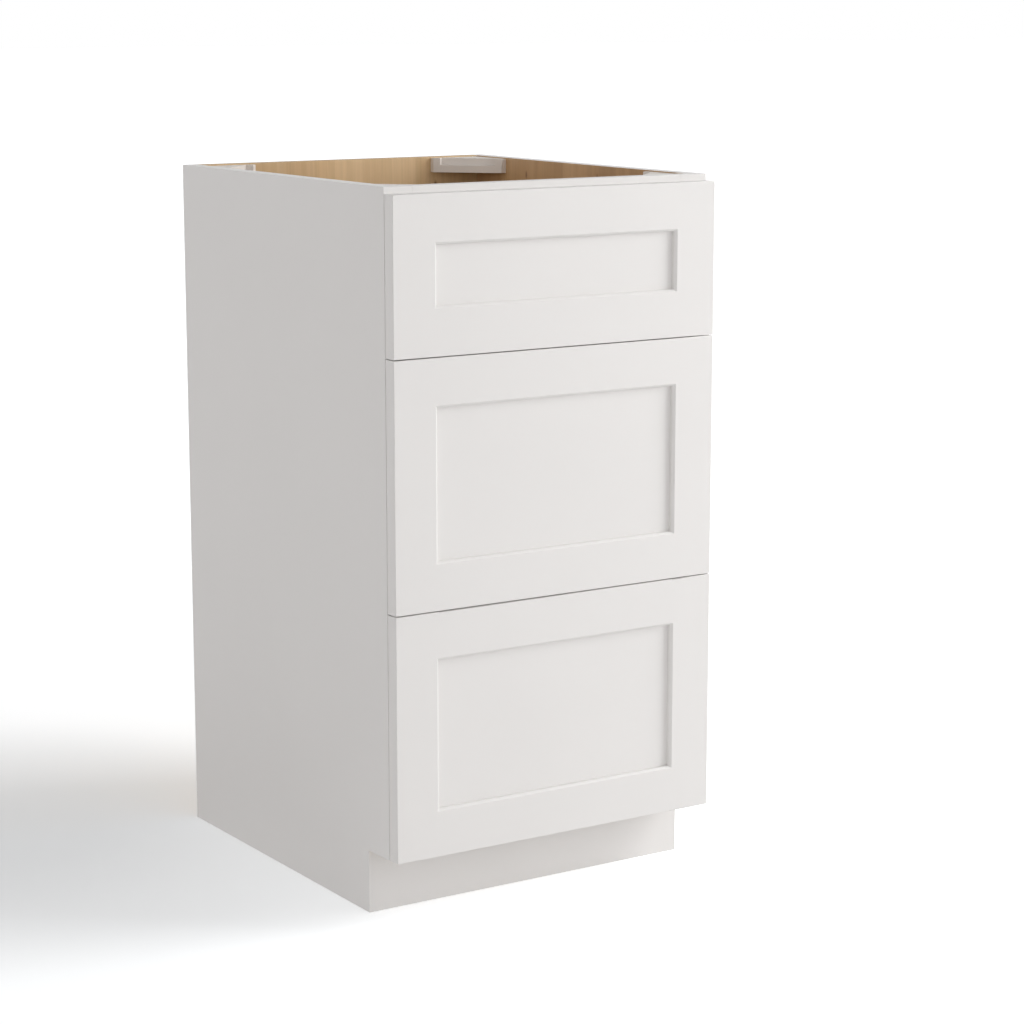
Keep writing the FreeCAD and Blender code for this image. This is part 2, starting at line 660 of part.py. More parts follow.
def drawer_box(drawer, opening, box_height):
    """Dovetailed box: sides with tails, front and back with pins, and a bottom in grooves.

    The tails' number follows the height, so these boards are shapes set from the sheet's sizes.
    """
    low = value(box_bottom(opening))
    height = value(box_height)
    thick = value("box_thickness")
    half = value("box_width / 2")
    front = value(FRONT_BACK_Y)
    back = front + value("box_length")
    z_range = (low, low + height)
    panel_low = low + value("bottom_recess")
    panel_top = panel_low + value("box_bottom_thickness")
    dado = value("dado_depth")
    panel = block((-half + thick - dado, half - thick + dado),
                  (front + thick - dado, back - thick + dado), (panel_low, panel_top))

    boards = {"box_bottom": panel}
    every_tail = []
    for side_name, direction in SIDES:
        x_low = half - thick if direction > 0 else -half
        corner_tails = (tails(x_low, front + thick, front, low, height)
                        + tails(x_low, back - thick, back, low, height))
        every_tail += corner_tails
        # At the back a foot fills the side below the notch, where the back board has no pin.
        foot = block((x_low, x_low + thick), (back - thick, back), (low, panel_low))
        corner_tails.append(foot)
        every_tail.append(foot)
        middle = block((x_low, x_low + thick), (front + thick, back - thick), z_range)
        boards[f"box_{side_name}_side"] = middle.fuse(corner_tails).removeSplitter().cut(panel)
    for end, y_low in (("front", front), ("back", back - thick)):
        end_board = block((-half, half), (y_low, y_low + thick), z_range)
        boards[f"box_{end}"] = end_board.cut(every_tail).cut(panel)

    # Notches let the carriers pass under the back.
    notch = value("notch_width")
    inner = half - thick
    for low_x in (-inner, inner - notch):
        opening_block = block((low_x, low_x + notch), (back - thick, back), (low, panel_low))
        boards["box_back"] = boards["box_back"].cut(opening_block)

    for name, shape in boards.items():
        board = doc.addObject("Part::Feature", f"{drawer}_{name}")
        board.Shape = shape
        board.Placement = FreeCAD.Placement()
        piece(f"{drawer}_{name}", board)


bumpers = []
for drawer, front_low, front_height, opening, box_height in DRAWERS:
    low = box_bottom(opening)
    drawer_front(drawer, front_low, front_height)
    drawer_box(drawer, opening, box_height)
    piece(f"{drawer}_drawer_runner_members", group(f"{drawer}_carriers", [
        carrier(f"{drawer}_{side_name}_carrier", direction, low)
        for side_name, direction in SIDES]))
    piece(f"{drawer}_drawer_locking_clips", group(f"{drawer}_clips", [
        locking_clip(f"{drawer}_{side_name}_clip", direction, low)
        for side_name, direction in SIDES]))
    # Clear bumpers on the frame's face, behind the four corners of the front.
    forward = FreeCAD.Rotation(FreeCAD.Vector(1, 0, 0), 90)
    for side_name, direction in SIDES:
        for level, bumper_z in (("low", f"{front_low} + bumper_inset"),
                                ("high", f"{front_low} + {front_height} - bumper_inset")):
            sign = "" if direction > 0 else "-"
            bumpers.append(cylinder(f"{drawer}_{side_name}_{level}_bumper", "bumper_radius",
                                    "bumper_thickness", forward,
                                    (f"{sign}(front_width / 2 - bumper_inset)", FRAME_Y,
                                     bumper_z)))
piece("drawer_bumpers", group("drawer_bumpers", bumpers))

# ---- Checks and files ----------------------------------------------------------------------------

doc.recompute()
for thing in doc.Objects:
    if "Invalid" in thing.State or "Error" in thing.State:
        raise RuntimeError(f"{thing.Name} failed: {thing.State}")
os.makedirs("parts", exist_ok=True)
for part in pieces:
    if part.Shape.isNull() or not part.Shape.isValid():
        raise RuntimeError(f"{part.Label} has no valid shape")
    part.Shape.exportStep(f"parts/{part.Label}.step")
    solids = len(part.Shape.Solids)
    print(f"{part.Label}: {solids} solid(s), {part.Shape.Volume / 1000:.1f} cm3")
print(f"{len(pieces)} pieces")
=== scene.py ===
import json
import logging
import math
from dataclasses import dataclass, field
from enum import Enum

import bmesh
import bpy
import numpy as np
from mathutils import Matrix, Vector


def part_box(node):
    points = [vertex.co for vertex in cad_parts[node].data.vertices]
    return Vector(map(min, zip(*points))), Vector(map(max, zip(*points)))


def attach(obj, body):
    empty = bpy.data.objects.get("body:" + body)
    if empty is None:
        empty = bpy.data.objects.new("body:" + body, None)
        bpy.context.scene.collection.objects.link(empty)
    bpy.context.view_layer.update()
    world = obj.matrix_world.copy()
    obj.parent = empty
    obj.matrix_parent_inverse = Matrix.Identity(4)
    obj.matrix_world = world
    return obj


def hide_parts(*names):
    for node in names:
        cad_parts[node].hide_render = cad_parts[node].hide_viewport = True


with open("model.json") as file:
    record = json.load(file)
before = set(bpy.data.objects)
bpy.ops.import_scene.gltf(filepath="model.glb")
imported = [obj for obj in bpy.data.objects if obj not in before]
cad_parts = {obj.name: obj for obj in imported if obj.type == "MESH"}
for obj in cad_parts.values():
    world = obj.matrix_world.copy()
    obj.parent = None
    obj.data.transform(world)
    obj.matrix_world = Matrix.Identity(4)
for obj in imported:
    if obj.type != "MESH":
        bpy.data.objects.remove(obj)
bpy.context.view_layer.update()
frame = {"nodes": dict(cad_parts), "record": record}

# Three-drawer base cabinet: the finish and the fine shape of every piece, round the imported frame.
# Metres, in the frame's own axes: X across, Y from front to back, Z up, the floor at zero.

LOG = logging.getLogger("base_cabinet")
MM = 0.001

RECORD = frame["record"]
BODY_OF = {node: body for body, nodes in RECORD["behaviour"]["bodies"].items() for node in nodes}
DRAWERS = ("top", "middle", "bottom")

Color = tuple[float, float, float]
Span = tuple[float, float]
Socket = bpy.types.NodeSocket

WHITE: Color = (1.0, 1.0, 1.0)
BLACK: Color = (0.0, 0.0, 0.0)


class Side(Enum):
    """The six ways that a flat face can look."""

    LEFT = (-1.0, 0.0, 0.0)
    RIGHT = (1.0, 0.0, 0.0)
    FRONT = (0.0, -1.0, 0.0)
    BACK = (0.0, 1.0, 0.0)
    UNDER = (0.0, 0.0, -1.0)
    TOP = (0.0, 0.0, 1.0)


class Grain(Enum):
    """The axis that a board's fibres follow."""

    ACROSS = 0
    DEEP = 1
    UPRIGHT = 2


# ---- Node trees ----


class Graph:
    """The node tree of a material or a world, put together by short calls."""

    def __init__(self, holder: bpy.types.Material | bpy.types.World) -> None:
        """Give a material or a world an empty tree.

        Args:
            holder: the material or the world.
        """
        holder.use_nodes = True
        self.tree = holder.node_tree
        self.tree.nodes.clear()

    def add(self, kind: str, values: dict | None = None, **settings: object) -> bpy.types.Node:
        """Add a node, set its properties, and set or link its inputs.

        Args:
            kind: the node's type.
            values: numbers or sockets, by the input's name or place.
            settings: properties of the node.

        Returns:
            The node.
        """
        node = self.tree.nodes.new(kind)
        for name, setting in settings.items():
            setattr(node, name, setting)
        for name, given in (values or {}).items():
            if isinstance(given, Socket):
                self.tree.links.new(given, node.inputs[name])
            else:
                node.inputs[name].default_value = given
        return node

    def place(self, scale: Color = WHITE, shift: Color = BLACK) -> Socket:
        """Object coordinates, scaled along each axis and then moved."""
        values = {"Vector": self.add("ShaderNodeTexCoord").outputs["Object"],
                  "Scale": scale, "Location": shift}
        return self.add("ShaderNodeMapping", values).outputs[0]

    def noise(self, place: Socket, scale: float, detail: float = 2.0, distortion: float = 0.0) -> Socket:
        """Soft noise with a number of cells to a metre."""
        values = {"Vector": place, "Scale": scale, "Detail": detail, "Distortion": distortion}
        return self.add("ShaderNodeTexNoise", values).outputs[0]

    def wave(self, place: Socket, scale: float, bending: Color, **settings: str) -> Socket:
        """Bands or rings bent by noise, whose distortion, detail and detail scale are the bending."""
        bent = dict(zip(("Distortion", "Detail", "Detail Scale"), bending))
        return self.add("ShaderNodeTexWave", {"Vector": place, "Scale": scale, **bent}, **settings).outputs[1]

    def math(self, operation: str, *values: object) -> Socket:
        """One sum on numbers or sockets."""
        return self.add("ShaderNodeMath", dict(enumerate(values)), operation=operation).outputs[0]

    def length(self, vector: Socket) -> Socket:
        """How long a vector is."""
        return self.add("ShaderNodeVectorMath", {0: vector}, operation="LENGTH").outputs["Value"]

    def span(self, factor: Socket, low: float, high: float) -> Socket:
        """A factor from 0 to 1 stretched to the range from low to high."""
        return self.add("ShaderNodeMapRange", {"Value": factor, "To Min": low, "To Max": high}).outputs[0]

    def ramp(self, factor: Socket, stops: tuple[tuple[float, Color], ...]) -> Socket:
        """Colours along a factor.

        Args:
            factor: the socket to read.
            stops: places from 0 to 1, each with its colour.

        Returns:
            The colour.
        """
        node = self.add("ShaderNodeValToRGB", {"Fac": factor})
        elements = node.color_ramp.elements
        while len(elements) < len(stops):
            elements.new(1.0)
        for element, (at, color) in zip(elements, stops):
            element.position = at
            element.color = (*color, 1.0)
        return node.outputs[0]

    def mix(self, factor: object, first: object, second: object, blend: str = "MIX") -> Socket:
        """Two colours blended by a factor."""
        values = {0: factor, 6: first, 7: second}
        return self.add("ShaderNodeMix", values, data_type="RGBA", blend_type=blend).outputs[2]

    def fade(self, factor: Socket, reach: Span, first: Color, last: Color) -> Socket:
        """One colour that turns into another while a factor goes through its reach."""
        return self.ramp(factor, ((reach[0], first), (reach[1], last)))

    def toned(self, color: Socket, factor: Socket, reach: Span, tone: Color) -> Socket:
        """A colour multiplied by a tone that fades out while a factor goes through its reach."""
        return self.mix(1.0, color, self.fade(factor, reach, tone, WHITE), "MULTIPLY")

    def bump(self, height: Socket, strength: float, distance: float) -> Socket:
        """A normal bent by a height."""
        values = {"Height": height, "Strength": strength, "Distance": distance}
        return self.add("ShaderNodeBump", values).outputs[0]

    def by_ray(self, plain: Socket, shown: Socket) -> Socket:
        """Mix two shaders by the kind of ray that meets them.

        Args:
            plain: the shader for light that bounces.
            shown: the shader for what the camera sees, straight or by a mirror or glass.

        Returns:
            The mixed shader.
        """
        path = self.add("ShaderNodeLightPath").outputs
        bright = self.math("MAXIMUM", path["Is Glossy Ray"], path["Is Transmission Ray"])
        seen = self.math("MAXIMUM", path["Is Camera Ray"], bright)
        return self.add("ShaderNodeMixShader", {0: seen, 1: plain, 2: shown}).outputs[0]


def shade(color: Color, factor: float) -> Color:
    """A colour times a factor."""
    return tuple(channel * factor for channel in color)


# ---- Finishes ----


@dataclass(frozen=True)
class Finish:
    """A finish of the cabinet, with one material made on first use.

    Attributes:
        name: the material's name.
        roughness: roughness where the finish's fine noise is 0 and where it is 1.
        relief: strength and depth of the bump that the same noise gives.
    """

    name: str
    roughness: Span = (0.40, 0.55)
    relief: Span = (0.3, 0.02 * MM)

    def material(self) -> bpy.types.Material:
        """Find the finish's material, or make it.

        Returns:
            The material.
        """
        made = bpy.data.materials.get(self.name)
        if made is None:
            made = bpy.data.materials.new(self.name)
            graph = Graph(made)
            graph.add("ShaderNodeOutputMaterial", {"Surface": self.shader(graph)})
        return made

    def shader(self, graph: Graph) -> Socket:
        """The shader that gives the finish its look."""
        raise NotImplementedError

    def coat(self, graph: Graph, color: Socket, skin: Socket, **others: float) -> Socket:
        """A principled surface in a colour, whose gloss and bump follow the finish's fine noise."""
        values = {"Base Color": color, "Roughness": graph.span(skin, *self.roughness),
                  "Normal": graph.bump(skin, *self.relief), **others}
        return graph.add("ShaderNodeBsdfPrincipled", values).outputs[0]


@dataclass(frozen=True)
class Clouded(Finish):
    """An even colour that broad noise clouds a little, over a finer noise in its skin.

    Attributes:
        color: the colour.
        clouding: share of the colour where the clouds are darkest.
        cloud_cells: cells of cloud to a metre.
        cloud_detail: detail of the clouds.
        cloud_reach: noise where the clouds are darkest, and where they end.
        skin_cells: cells of the fine noise to a metre.
        skin_stretch: its scale along each axis.
        metallic: 1 for metal, otherwise 0.
    """

    color: Color = WHITE
    clouding: float = 0.96
    cloud_cells: float = 30.0
    cloud_detail: float = 2.0
    cloud_reach: Span = (0.3, 0.7)
    skin_cells: float = 1400.0
    skin_stretch: Color = WHITE
    metallic: float = 0.0

    def shader(self, graph: Graph) -> Socket:
        """Lay the clouded colour over the skin.

        Args:
            graph: the tree to fill.

        Returns:
            The shader.
        """
        cloud = graph.noise(graph.place(), self.cloud_cells, self.cloud_detail)
        skin = graph.noise(graph.place(self.skin_stretch), self.skin_cells)
        color = graph.fade(cloud, self.cloud_reach, shade(self.color, self.clouding), self.color)
        return self.coat(graph, color, skin, Metallic=self.metallic)


@dataclass(frozen=True)
class Paint(Clouded):
    """Sprayed satin paint: an even white with a fine orange peel and the faintest clouding."""

    roughness: Span = (0.40, 0.50)
    relief: Span = (0.4, 0.02 * MM)
    color: Color = (0.820, 0.807, 0.792)
    clouding: float = 0.985
    cloud_cells: float = 5.0
    cloud_detail: float = 3.0
    skin_cells: float = 380.0


@dataclass(frozen=True)
class Plastic(Clouded):
    """Moulded plastic with a fine eroded texture."""


@dataclass(frozen=True)
class ZincPlate(Clouded):
    """Bright zinc plate on rolled steel: drawn lines along the rail and a soft grey mottle."""

    roughness: Span = (0.24, 0.40)
    relief: Span = (0.15, 0.01 * MM)
    color: Color = (0.70, 0.71, 0.72)
    clouding: float = 0.90
    cloud_cells: float = 90.0
    cloud_detail: float = 4.0
    skin_cells: float = 1500.0
    skin_stretch: Color = (1.0, 0.02, 1.0)
    metallic: float = 1.0


@dataclass(frozen=True)
class Wood(Finish):
    """Clear-lacquered maple: leaves or staves side by side, a soft figure, fibres and a few knots.

    The pattern is drawn on coordinates squeezed along the fibres, so each cell of noise becomes
    a streak.  A leaf's tone is a random number for the whole part of its place divided by its width.
    """

    roughness: Span = (0.42, 0.56)
    relief: Span = (0.35, 0.03 * MM)
    grain: Grain = Grain.UPRIGHT
    pale: Color = (0.730, 0.528, 0.305)
    deep: Color = (0.580, 0.385, 0.195)
    leaf_width: float = 42 * MM
    leaf_tone: Color = (0.90, 0.90, 0.90)
    leaf_wander: Span = (0.35, 2.2)
    figure_squeeze: float = 0.10
    figure_cells: float = 16.0
    figure_detail: Span = (4.0, 0.6)
    figure_reach: Span = (0.28, 0.62)
    band_scale: float = 14.0
    band_bending: Color = (9.0, 3.0, 1.2)
    band_tone: Color = (0.93, 0.92, 0.90)
    band_reach: Span = (0.0, 0.35)
    fibre_squeeze: float = 0.015
    fibre_cells: float = 420.0
    fibre_detail: float = 3.0
    fibre_tone: Color = (0.93, 0.93, 0.93)
    fibre_reach: Span = (0.35, 0.60)
    knots: tuple[Color, ...] = ()
    knot_color: Color = (0.20, 0.105, 0.050)
    knot_strength: float = 0.85
    knot_width: float = 3.0 * MM
    knot_length: float = 7.2 * MM
    knot_reach: Span = (0.20, 1.0)

    def by_grain(self, along: float, across: float) -> Color:
        """One number for the axis of the fibres and another for the two axes across them."""
        return tuple(along if axis == self.grain.value else across for axis in range(3))

    def shader(self, graph: Graph) -> Socket:
        """Multiply figure, fibres, bands and leaves together, and lay the knots over them.

        Args:
            graph: the tree to fill.

        Returns:
            The shader.
        """
        drawn = graph.place(self.by_grain(self.figure_squeeze, 1.0))
        figure = graph.noise(drawn, self.figure_cells, *self.figure_detail)
        bands = graph.wave(drawn, self.band_scale, self.band_bending, bands_direction="DIAGONAL")
        thread = graph.place(self.by_grain(self.fibre_squeeze, 1.0))
        fibre = graph.noise(thread, self.fibre_cells, self.fibre_detail)
        color = graph.fade(figure, self.figure_reach, self.deep, self.pale)
        color = graph.toned(color, fibre, self.fibre_reach, self.fibre_tone)
        color = graph.toned(color, bands, self.band_reach, self.band_tone)
        color = graph.toned(color, self.leaf_number(graph), (0.0, 1.0), self.leaf_tone)
        if self.knots:
            color = self.knotted(graph, color)
        return self.coat(graph, color, fibre)

    def leaf_number(self, graph: Graph) -> Socket:
        """Draw a random number for each leaf; noise that is even along the fibres varies their widths.

        Args:
            graph: the tree to fill.

        Returns:
            The number, from 0 to 1.
        """
        parts = graph.add("ShaderNodeSeparateXYZ", {0: graph.place()}).outputs
        across = [parts[axis] for axis in range(3) if axis != self.grain.value]
        both = graph.math("ADD", *across)
        cells, reach = self.leaf_wander
        wander = graph.noise(graph.place(self.by_grain(0.0, 1.0)), cells / self.leaf_width)
        bent = graph.math("MULTIPLY_ADD", wander, self.leaf_width * reach, both)
        leaf = graph.math("FLOOR", graph.math("DIVIDE", bent, self.leaf_width))
        return graph.add("ShaderNodeTexWhiteNoise", {"W": leaf}, noise_dimensions="1D").outputs[0]

    def knotted(self, graph: Graph, color: Socket) -> Socket:
        """Lay small dark knots over a colour, by the least distance to any of them.

        Args:
            graph: the tree to fill.
            color: the wood's colour.

        Returns:
            The colour with its knots.
        """
        nearest = None
        size = self.by_grain(1.0 / self.knot_length, 1.0 / self.knot_width)
        for spot in self.knots:
            shift = tuple(-at * by for at, by in zip(spot, size))
            distance = graph.length(graph.place(size, shift))
            nearest = distance if nearest is None else graph.math("MINIMUM", nearest, distance)
        near = graph.fade(nearest, self.knot_reach, WHITE, BLACK)
        return graph.mix(graph.math("MULTIPLY", near, self.knot_strength), color, (*self.knot_color, 1.0))


@dataclass(frozen=True)
class SolidMaple(Wood):
    """Solid maple, glued up from staves: paler and more even than the veneer."""

    pale: Color = (0.700, 0.545, 0.350)
    deep: Color = (0.570, 0.410, 0.235)
    leaf_width: float = 70 * MM
    leaf_tone: Color = (0.91, 0.91, 0.91)


@dataclass(frozen=True)
class PlyEdge(Finish):
    """Sawn edge of plywood: thin plies, light and dark by turns, across the sheet's thickness."""

    roughness: Span = (0.60, 0.80)
    relief: Span = (0.5, 0.08 * MM)
    across: str = "Y"
    light: Color = (0.70, 0.57, 0.40)
    dark: Color = (0.47, 0.33, 0.20)
    worn: Color = (0.86, 0.85, 0.83)
    ply: float = 1.6 * MM
    ply_reach: Span = (0.25, 0.55)
    bending: Color = (0.5, 2.0, 0.4)
    saw_cells: float = 700.0
    saw_detail: float = 3.0
    saw_reach: Span = (0.3, 0.6)

    def shader(self, graph: Graph) -> Socket:
        """Repeat bands every second ply, over a coarse saw-cut noise.

        Args:
            graph: the tree to fill.

        Returns:
            The shader.
        """
        # A wave of scale one has a period of pi / 10 of a metre.
        scale = math.pi / 10 / (2 * self.ply)
        bands = graph.wave(graph.place(), scale, self.bending, bands_direction=self.across)
        saw = graph.noise(graph.place(), self.saw_cells, self.saw_detail)
        color = graph.fade(bands, self.ply_reach, self.dark, self.light)
        return self.coat(graph, graph.toned(color, saw, self.saw_reach, self.worn), saw)


@dataclass(frozen=True)
class EndGrain(Finish):
    """Sawn end of a solid maple board: slightly darker, with curved year rings and open pores."""

    roughness: Span = (0.70, 0.55)
    relief: Span = (0.4, 0.05 * MM)
    color: Color = (0.520, 0.370, 0.210)
    ring_shade: float = 0.82
    ring_reach: Span = (0.0, 0.5)
    ring_scale: float = 75.0
    ring_bending: Color = (3.0, 2.0, 0.5)
    heart: Color = (-0.31, -0.27, -0.19)
    pore_cells: float = 1900.0
    pore_tone: Color = (0.72, 0.70, 0.66)
    pore_reach: Span = (0.32, 0.50)

    def shader(self, graph: Graph) -> Socket:
        """Darken rings round a far heart by the pores.

        Args:
            graph: the tree to fill.

        Returns:
            The shader.
        """
        place = graph.place(shift=shade(self.heart, -1.0))
        rings = graph.wave(place, self.ring_scale, self.ring_bending,
                           wave_type="RINGS", rings_direction="SPHERICAL")
        pores = graph.noise(place, self.pore_cells)
        color = graph.fade(rings, self.ring_reach, shade(self.color, self.ring_shade), self.color)
        return self.coat(graph, graph.toned(color, pores, self.pore_reach, self.pore_tone), pores)


@dataclass(frozen=True)
class ClearRubber(Finish):
    """Soft clear rubber with a frosted skin."""

    roughness: Span = (0.25, 0.40)
    color: Color = (0.88, 0.88, 0.87)
    frost_cells: float = 900.0
    clearness: float = 0.25
    refraction: float = 1.41

    def shader(self, graph: Graph) -> Socket:
        """A milky body that lets a little light through, with an uneven frosted skin."""
        frost = graph.span(graph.noise(graph.place(), self.frost_cells), *self.roughness)
        return graph.add("ShaderNodeBsdfPrincipled", {
            "Base Color": (*self.color, 1.0), "Transmission Weight": self.clearness,
            "IOR": self.refraction, "Roughness": frost}).outputs[0]


@dataclass(frozen=True)
class Finishes:
    """Every finish of the cabinet."""

    paint: Paint = Paint("satin_white_paint")
    veneer: Wood = Wood("maple_veneer_upright", knots=((0.1430, 0.2492, 0.8390),))
    # Side panels' inner veneer: a darker, redder copy of the maple veneer, as painted shade and wood-to-wood
    # bounce where these walls stand in shadow.
    side_veneer_painted_shade: Wood = Wood("maple_veneer_sides_painted_shade", pale=(0.575, 0.370, 0.194), deep=(0.455, 0.269, 0.123),
                             knots=((0.2095, 0.1250, 0.8560), (0.2095, -0.0410, 0.8600)))
    panel_veneer: Wood = Wood("maple_veneer_deep", grain=Grain.DEEP, leaf_width=70 * MM)
    drawer_veneer: Wood = Wood("maple_veneer_across", grain=Grain.ACROSS, leaf_width=80 * MM)
    side_maple: SolidMaple = SolidMaple("solid_maple_deep", grain=Grain.DEEP)
    end_maple: SolidMaple = SolidMaple("solid_maple_across", grain=Grain.ACROSS)
    end_grain: EndGrain = EndGrain("maple_end_grain")
    ply_x: PlyEdge = PlyEdge("ply_edge_across", across="X")
    ply_y: PlyEdge = PlyEdge("ply_edge_deep", across="Y")
    ply_z: PlyEdge = PlyEdge("ply_edge_upright", across="Z")
    # Off-white plastic, darkened and warmed beyond its own colour as painted shade and bounce from the wood
    # round the braces.
    white_plastic: Plastic = Plastic("white_moulding_painted_shade", color=(0.765, 0.715, 0.670))
    grey_plastic: Plastic = Plastic("grey_moulding", color=(0.19, 0.195, 0.20))
    zinc: ZincPlate = ZincPlate("bright_zinc_plate")
    rubber: ClearRubber = ClearRubber("clear_rubber_frosted")


FINISHES = Finishes()


# ---- Shapes ----

END_POINTS = 9

# Rows of axes: along Y with its own Z up, along Y with its own Z across, and its own Z to the front.
LYING = np.array([[0.0, 1.0, 0.0], [-1.0, 0.0, 0.0], [0.0, 0.0, 1.0]])
STANDING = np.array([[0.0, 1.0, 0.0], [0.0, 0.0, 1.0], [1.0, 0.0, 0.0]])
TO_FRONT = np.array([[1.0, 0.0, 0.0], [0.0, 0.0, 1.0], [0.0, -1.0, 0.0]])


@dataclass
class Shell:
    """A closed surface: its points and its faces, which look outwards."""

    points: np.ndarray
    faces: list[list[int]]

    def moved(self, offset: Color) -> "Shell":
        """The shell shifted by an offset."""
        return Shell(self.points + np.asarray(offset), self.faces)

    def turned(self, axes: np.ndarray) -> "Shell":
        """The shell with its own X, Y and Z laid along the rows of a right-handed matrix."""
        return Shell(self.points @ np.asarray(axes, float), self.faces)


def joined(shells: list[Shell]) -> Shell:
    """Put several shells into one list of points and faces.

    Args:
        shells: the shells, in order.

    Returns:
        One shell that holds them all.
    """
    starts = np.cumsum([0] + [len(shell.points) for shell in shells[:-1]]).tolist()
    faces = []
    for start, shell in zip(starts, shells):
        faces += [[index + start for index in face] for face in shell.faces]
    return Shell(np.concatenate([shell.points for shell in shells]), faces)


def through_rings(rings: np.ndarray) -> Shell:
    """Closed surface through rings of points, which run anticlockwise seen from the last ring's side.

    Args:
        rings: points, as an array of rings by points in a ring by three.

    Returns:
        Quads between each ring and the next, and one flat face over each end.
    """
    count, around = rings.shape[:2]
    index = np.arange(count * around).reshape(count, around)
    after = np.roll(index, -1, axis=1)
    quads = np.stack([index[:-1], after[:-1], after[1:], index[1:]], axis=-1).reshape(-1, 4)
    faces = quads.tolist() + [index[0][::-1].tolist(), index[-1].tolist()]
    return Shell(rings.reshape(-1, 3), faces)


def turned_profile(profile: np.ndarray, around: int, sink: np.ndarray | None = None) -> Shell:
    """Surface of revolution about Z: each point is radius times cosine, radius times sine, height.

    Args:
        profile: radius and height of each ring, from the bottom up.
        around: points in a ring.
        sink: depth to take off each point's height, rings by points, or None.

    Returns:
        The closed surface.
    """
    angle = np.linspace(0.0, 2.0 * np.pi, around, endpoint=False)
    radius = profile[:, 0, None]
    height = np.repeat(profile[:, 1, None], around, axis=1)
    if sink is not None:
        height = height - sink
    return through_rings(np.stack([radius * np.cos(angle), radius * np.sin(angle), height], axis=-1))


def carried(outline: np.ndarray, start: float, end: float) -> Shell:
    """Carry an outline along Y: each ring is the outline in X and Z, moved to one end.

    Args:
        outline: X and Z of its points, anticlockwise seen from the front.
        start: Y of the front end.
        end: Y of the back end.

    Returns:
        The closed surface.
    """
    ring = np.stack([outline[:, 0], np.zeros(len(outline)), outline[:, 1]], axis=-1)
    along = np.array([end, start])[:, None, None] * np.array([0.0, 1.0, 0.0])
    return through_rings(ring[None] + along)


def rounded_line(points: np.ndarray, radius: float, steps: int = 5) -> np.ndarray:
    """An open line with each inner corner replaced by an arc.

    With unit vectors a and b from a corner to its neighbours and w the angle between them, the arc's
    centre lies along a + b at radius / sin(w / 2).  The arc turns evenly from one touching point to the
    other, as a mix of the two radii weighted by sines.

    Args:
        points: corners, as rows of two coordinates.
        radius: radius of every bend.
        steps: points on each arc.

    Returns:
        The line's points.
    """
    corner = points[1:-1]
    back = points[:-2] - corner
    ahead = points[2:] - corner
    back /= np.linalg.norm(back, axis=1, keepdims=True)
    ahead /= np.linalg.norm(ahead, axis=1, keepdims=True)
    opening = np.arccos(np.clip(np.sum(back * ahead, axis=1), -1.0, 1.0))[:, None]
    middle = back + ahead
    middle /= np.linalg.norm(middle, axis=1, keepdims=True)
    centre = corner + middle * radius / np.sin(opening / 2)
    touch = radius / np.tan(opening / 2)
    first = corner + back * touch - centre
    last = corner + ahead * touch - centre
    sweep = (np.pi - opening)[:, :, None]
    share = np.linspace(0.0, 1.0, steps)[None, :, None]
    arc = np.sin((1 - share) * sweep) * first[:, None] + np.sin(share * sweep) * last[:, None]
    arcs = (centre[:, None] + arc / np.sin(sweep)).reshape(-1, 2)
    return np.concatenate([points[:1], arcs, points[-1:]])


def sheet_outline(points: list[Span], thickness: float, bend: float) -> np.ndarray:
    """Closed outline of bent sheet: its middle line offset by half the thickness to both sides.

    Args:
        points: corners of the middle line.
        thickness: of the sheet.
        bend: radius of the middle line at each bend.

    Returns:
        The outline, anticlockwise.
    """
    line = rounded_line(np.asarray(points, float), bend)
    step = np.diff(line, axis=0)
    step /= np.linalg.norm(step, axis=1, keepdims=True)
    along = np.concatenate([step[:1], step[:-1] + step[1:], step[-1:]])
    along /= np.linalg.norm(along, axis=1, keepdims=True)
    cosine = np.sum(along * np.concatenate([step[:1], step]), axis=1, keepdims=True)
    normal = np.stack([-along[:, 1], along[:, 0]], axis=-1) * thickness / 2 / cosine
    outline = np.concatenate([line - normal, (line + normal)[::-1]])
    after = np.roll(outline, -1, axis=0)
    area = np.sum(outline[:, 0] * after[:, 1] - after[:, 0] * outline[:, 1])
    return outline if area > 0 else outline[::-1]


def slot_shell(centre: Color, length: float, width: float, axes: np.ndarray, depth: float) -> Shell:
    """Prism with round ends, used to punch a slot.

    Args:
        centre: middle of the slot.
        length: overall length, along the first row of axes.
        width: width, along the second row.
        axes: right-handed rows; the slot is cut along the third.
        depth: length of the prism.

    Returns:
        The prism.
    """
    turn = np.linspace(-np.pi / 2, np.pi / 2, END_POINTS)
    straight = max(length - width, 0.0) / 2
    half = np.stack([straight + width / 2 * np.cos(turn), width / 2 * np.sin(turn)], axis=-1)
    outline = np.concatenate([half, -half])
    ring = np.concatenate([outline, np.zeros((len(outline), 1))], axis=1)
    rise = np.array([-depth / 2, depth / 2])[:, None, None] * np.array([0.0, 0.0, 1.0])
    return through_rings(ring[None] + rise).turned(axes).moved(centre)


def linked(name: str, data: bpy.types.ID) -> bpy.types.Object:
    """An object of the scene, at the origin.

    Args:
        name: its name.
        data: the mesh, lamp or camera that it holds.

    Returns:
        The object.
    """
    made = bpy.data.objects.new(name, data)
    bpy.context.scene.collection.objects.link(made)
    return made


def new_object(name: str, shell: Shell) -> bpy.types.Object:
    """An object of the scene that holds a shell.

    Args:
        name: the piece's name.
        shell: its surface.

    Returns:
        The object, at the origin.
    """
    mesh = bpy.data.meshes.new(name)
    mesh.from_pydata(shell.points.tolist(), [], shell.faces)
    mesh.update()
    return linked(name, mesh)


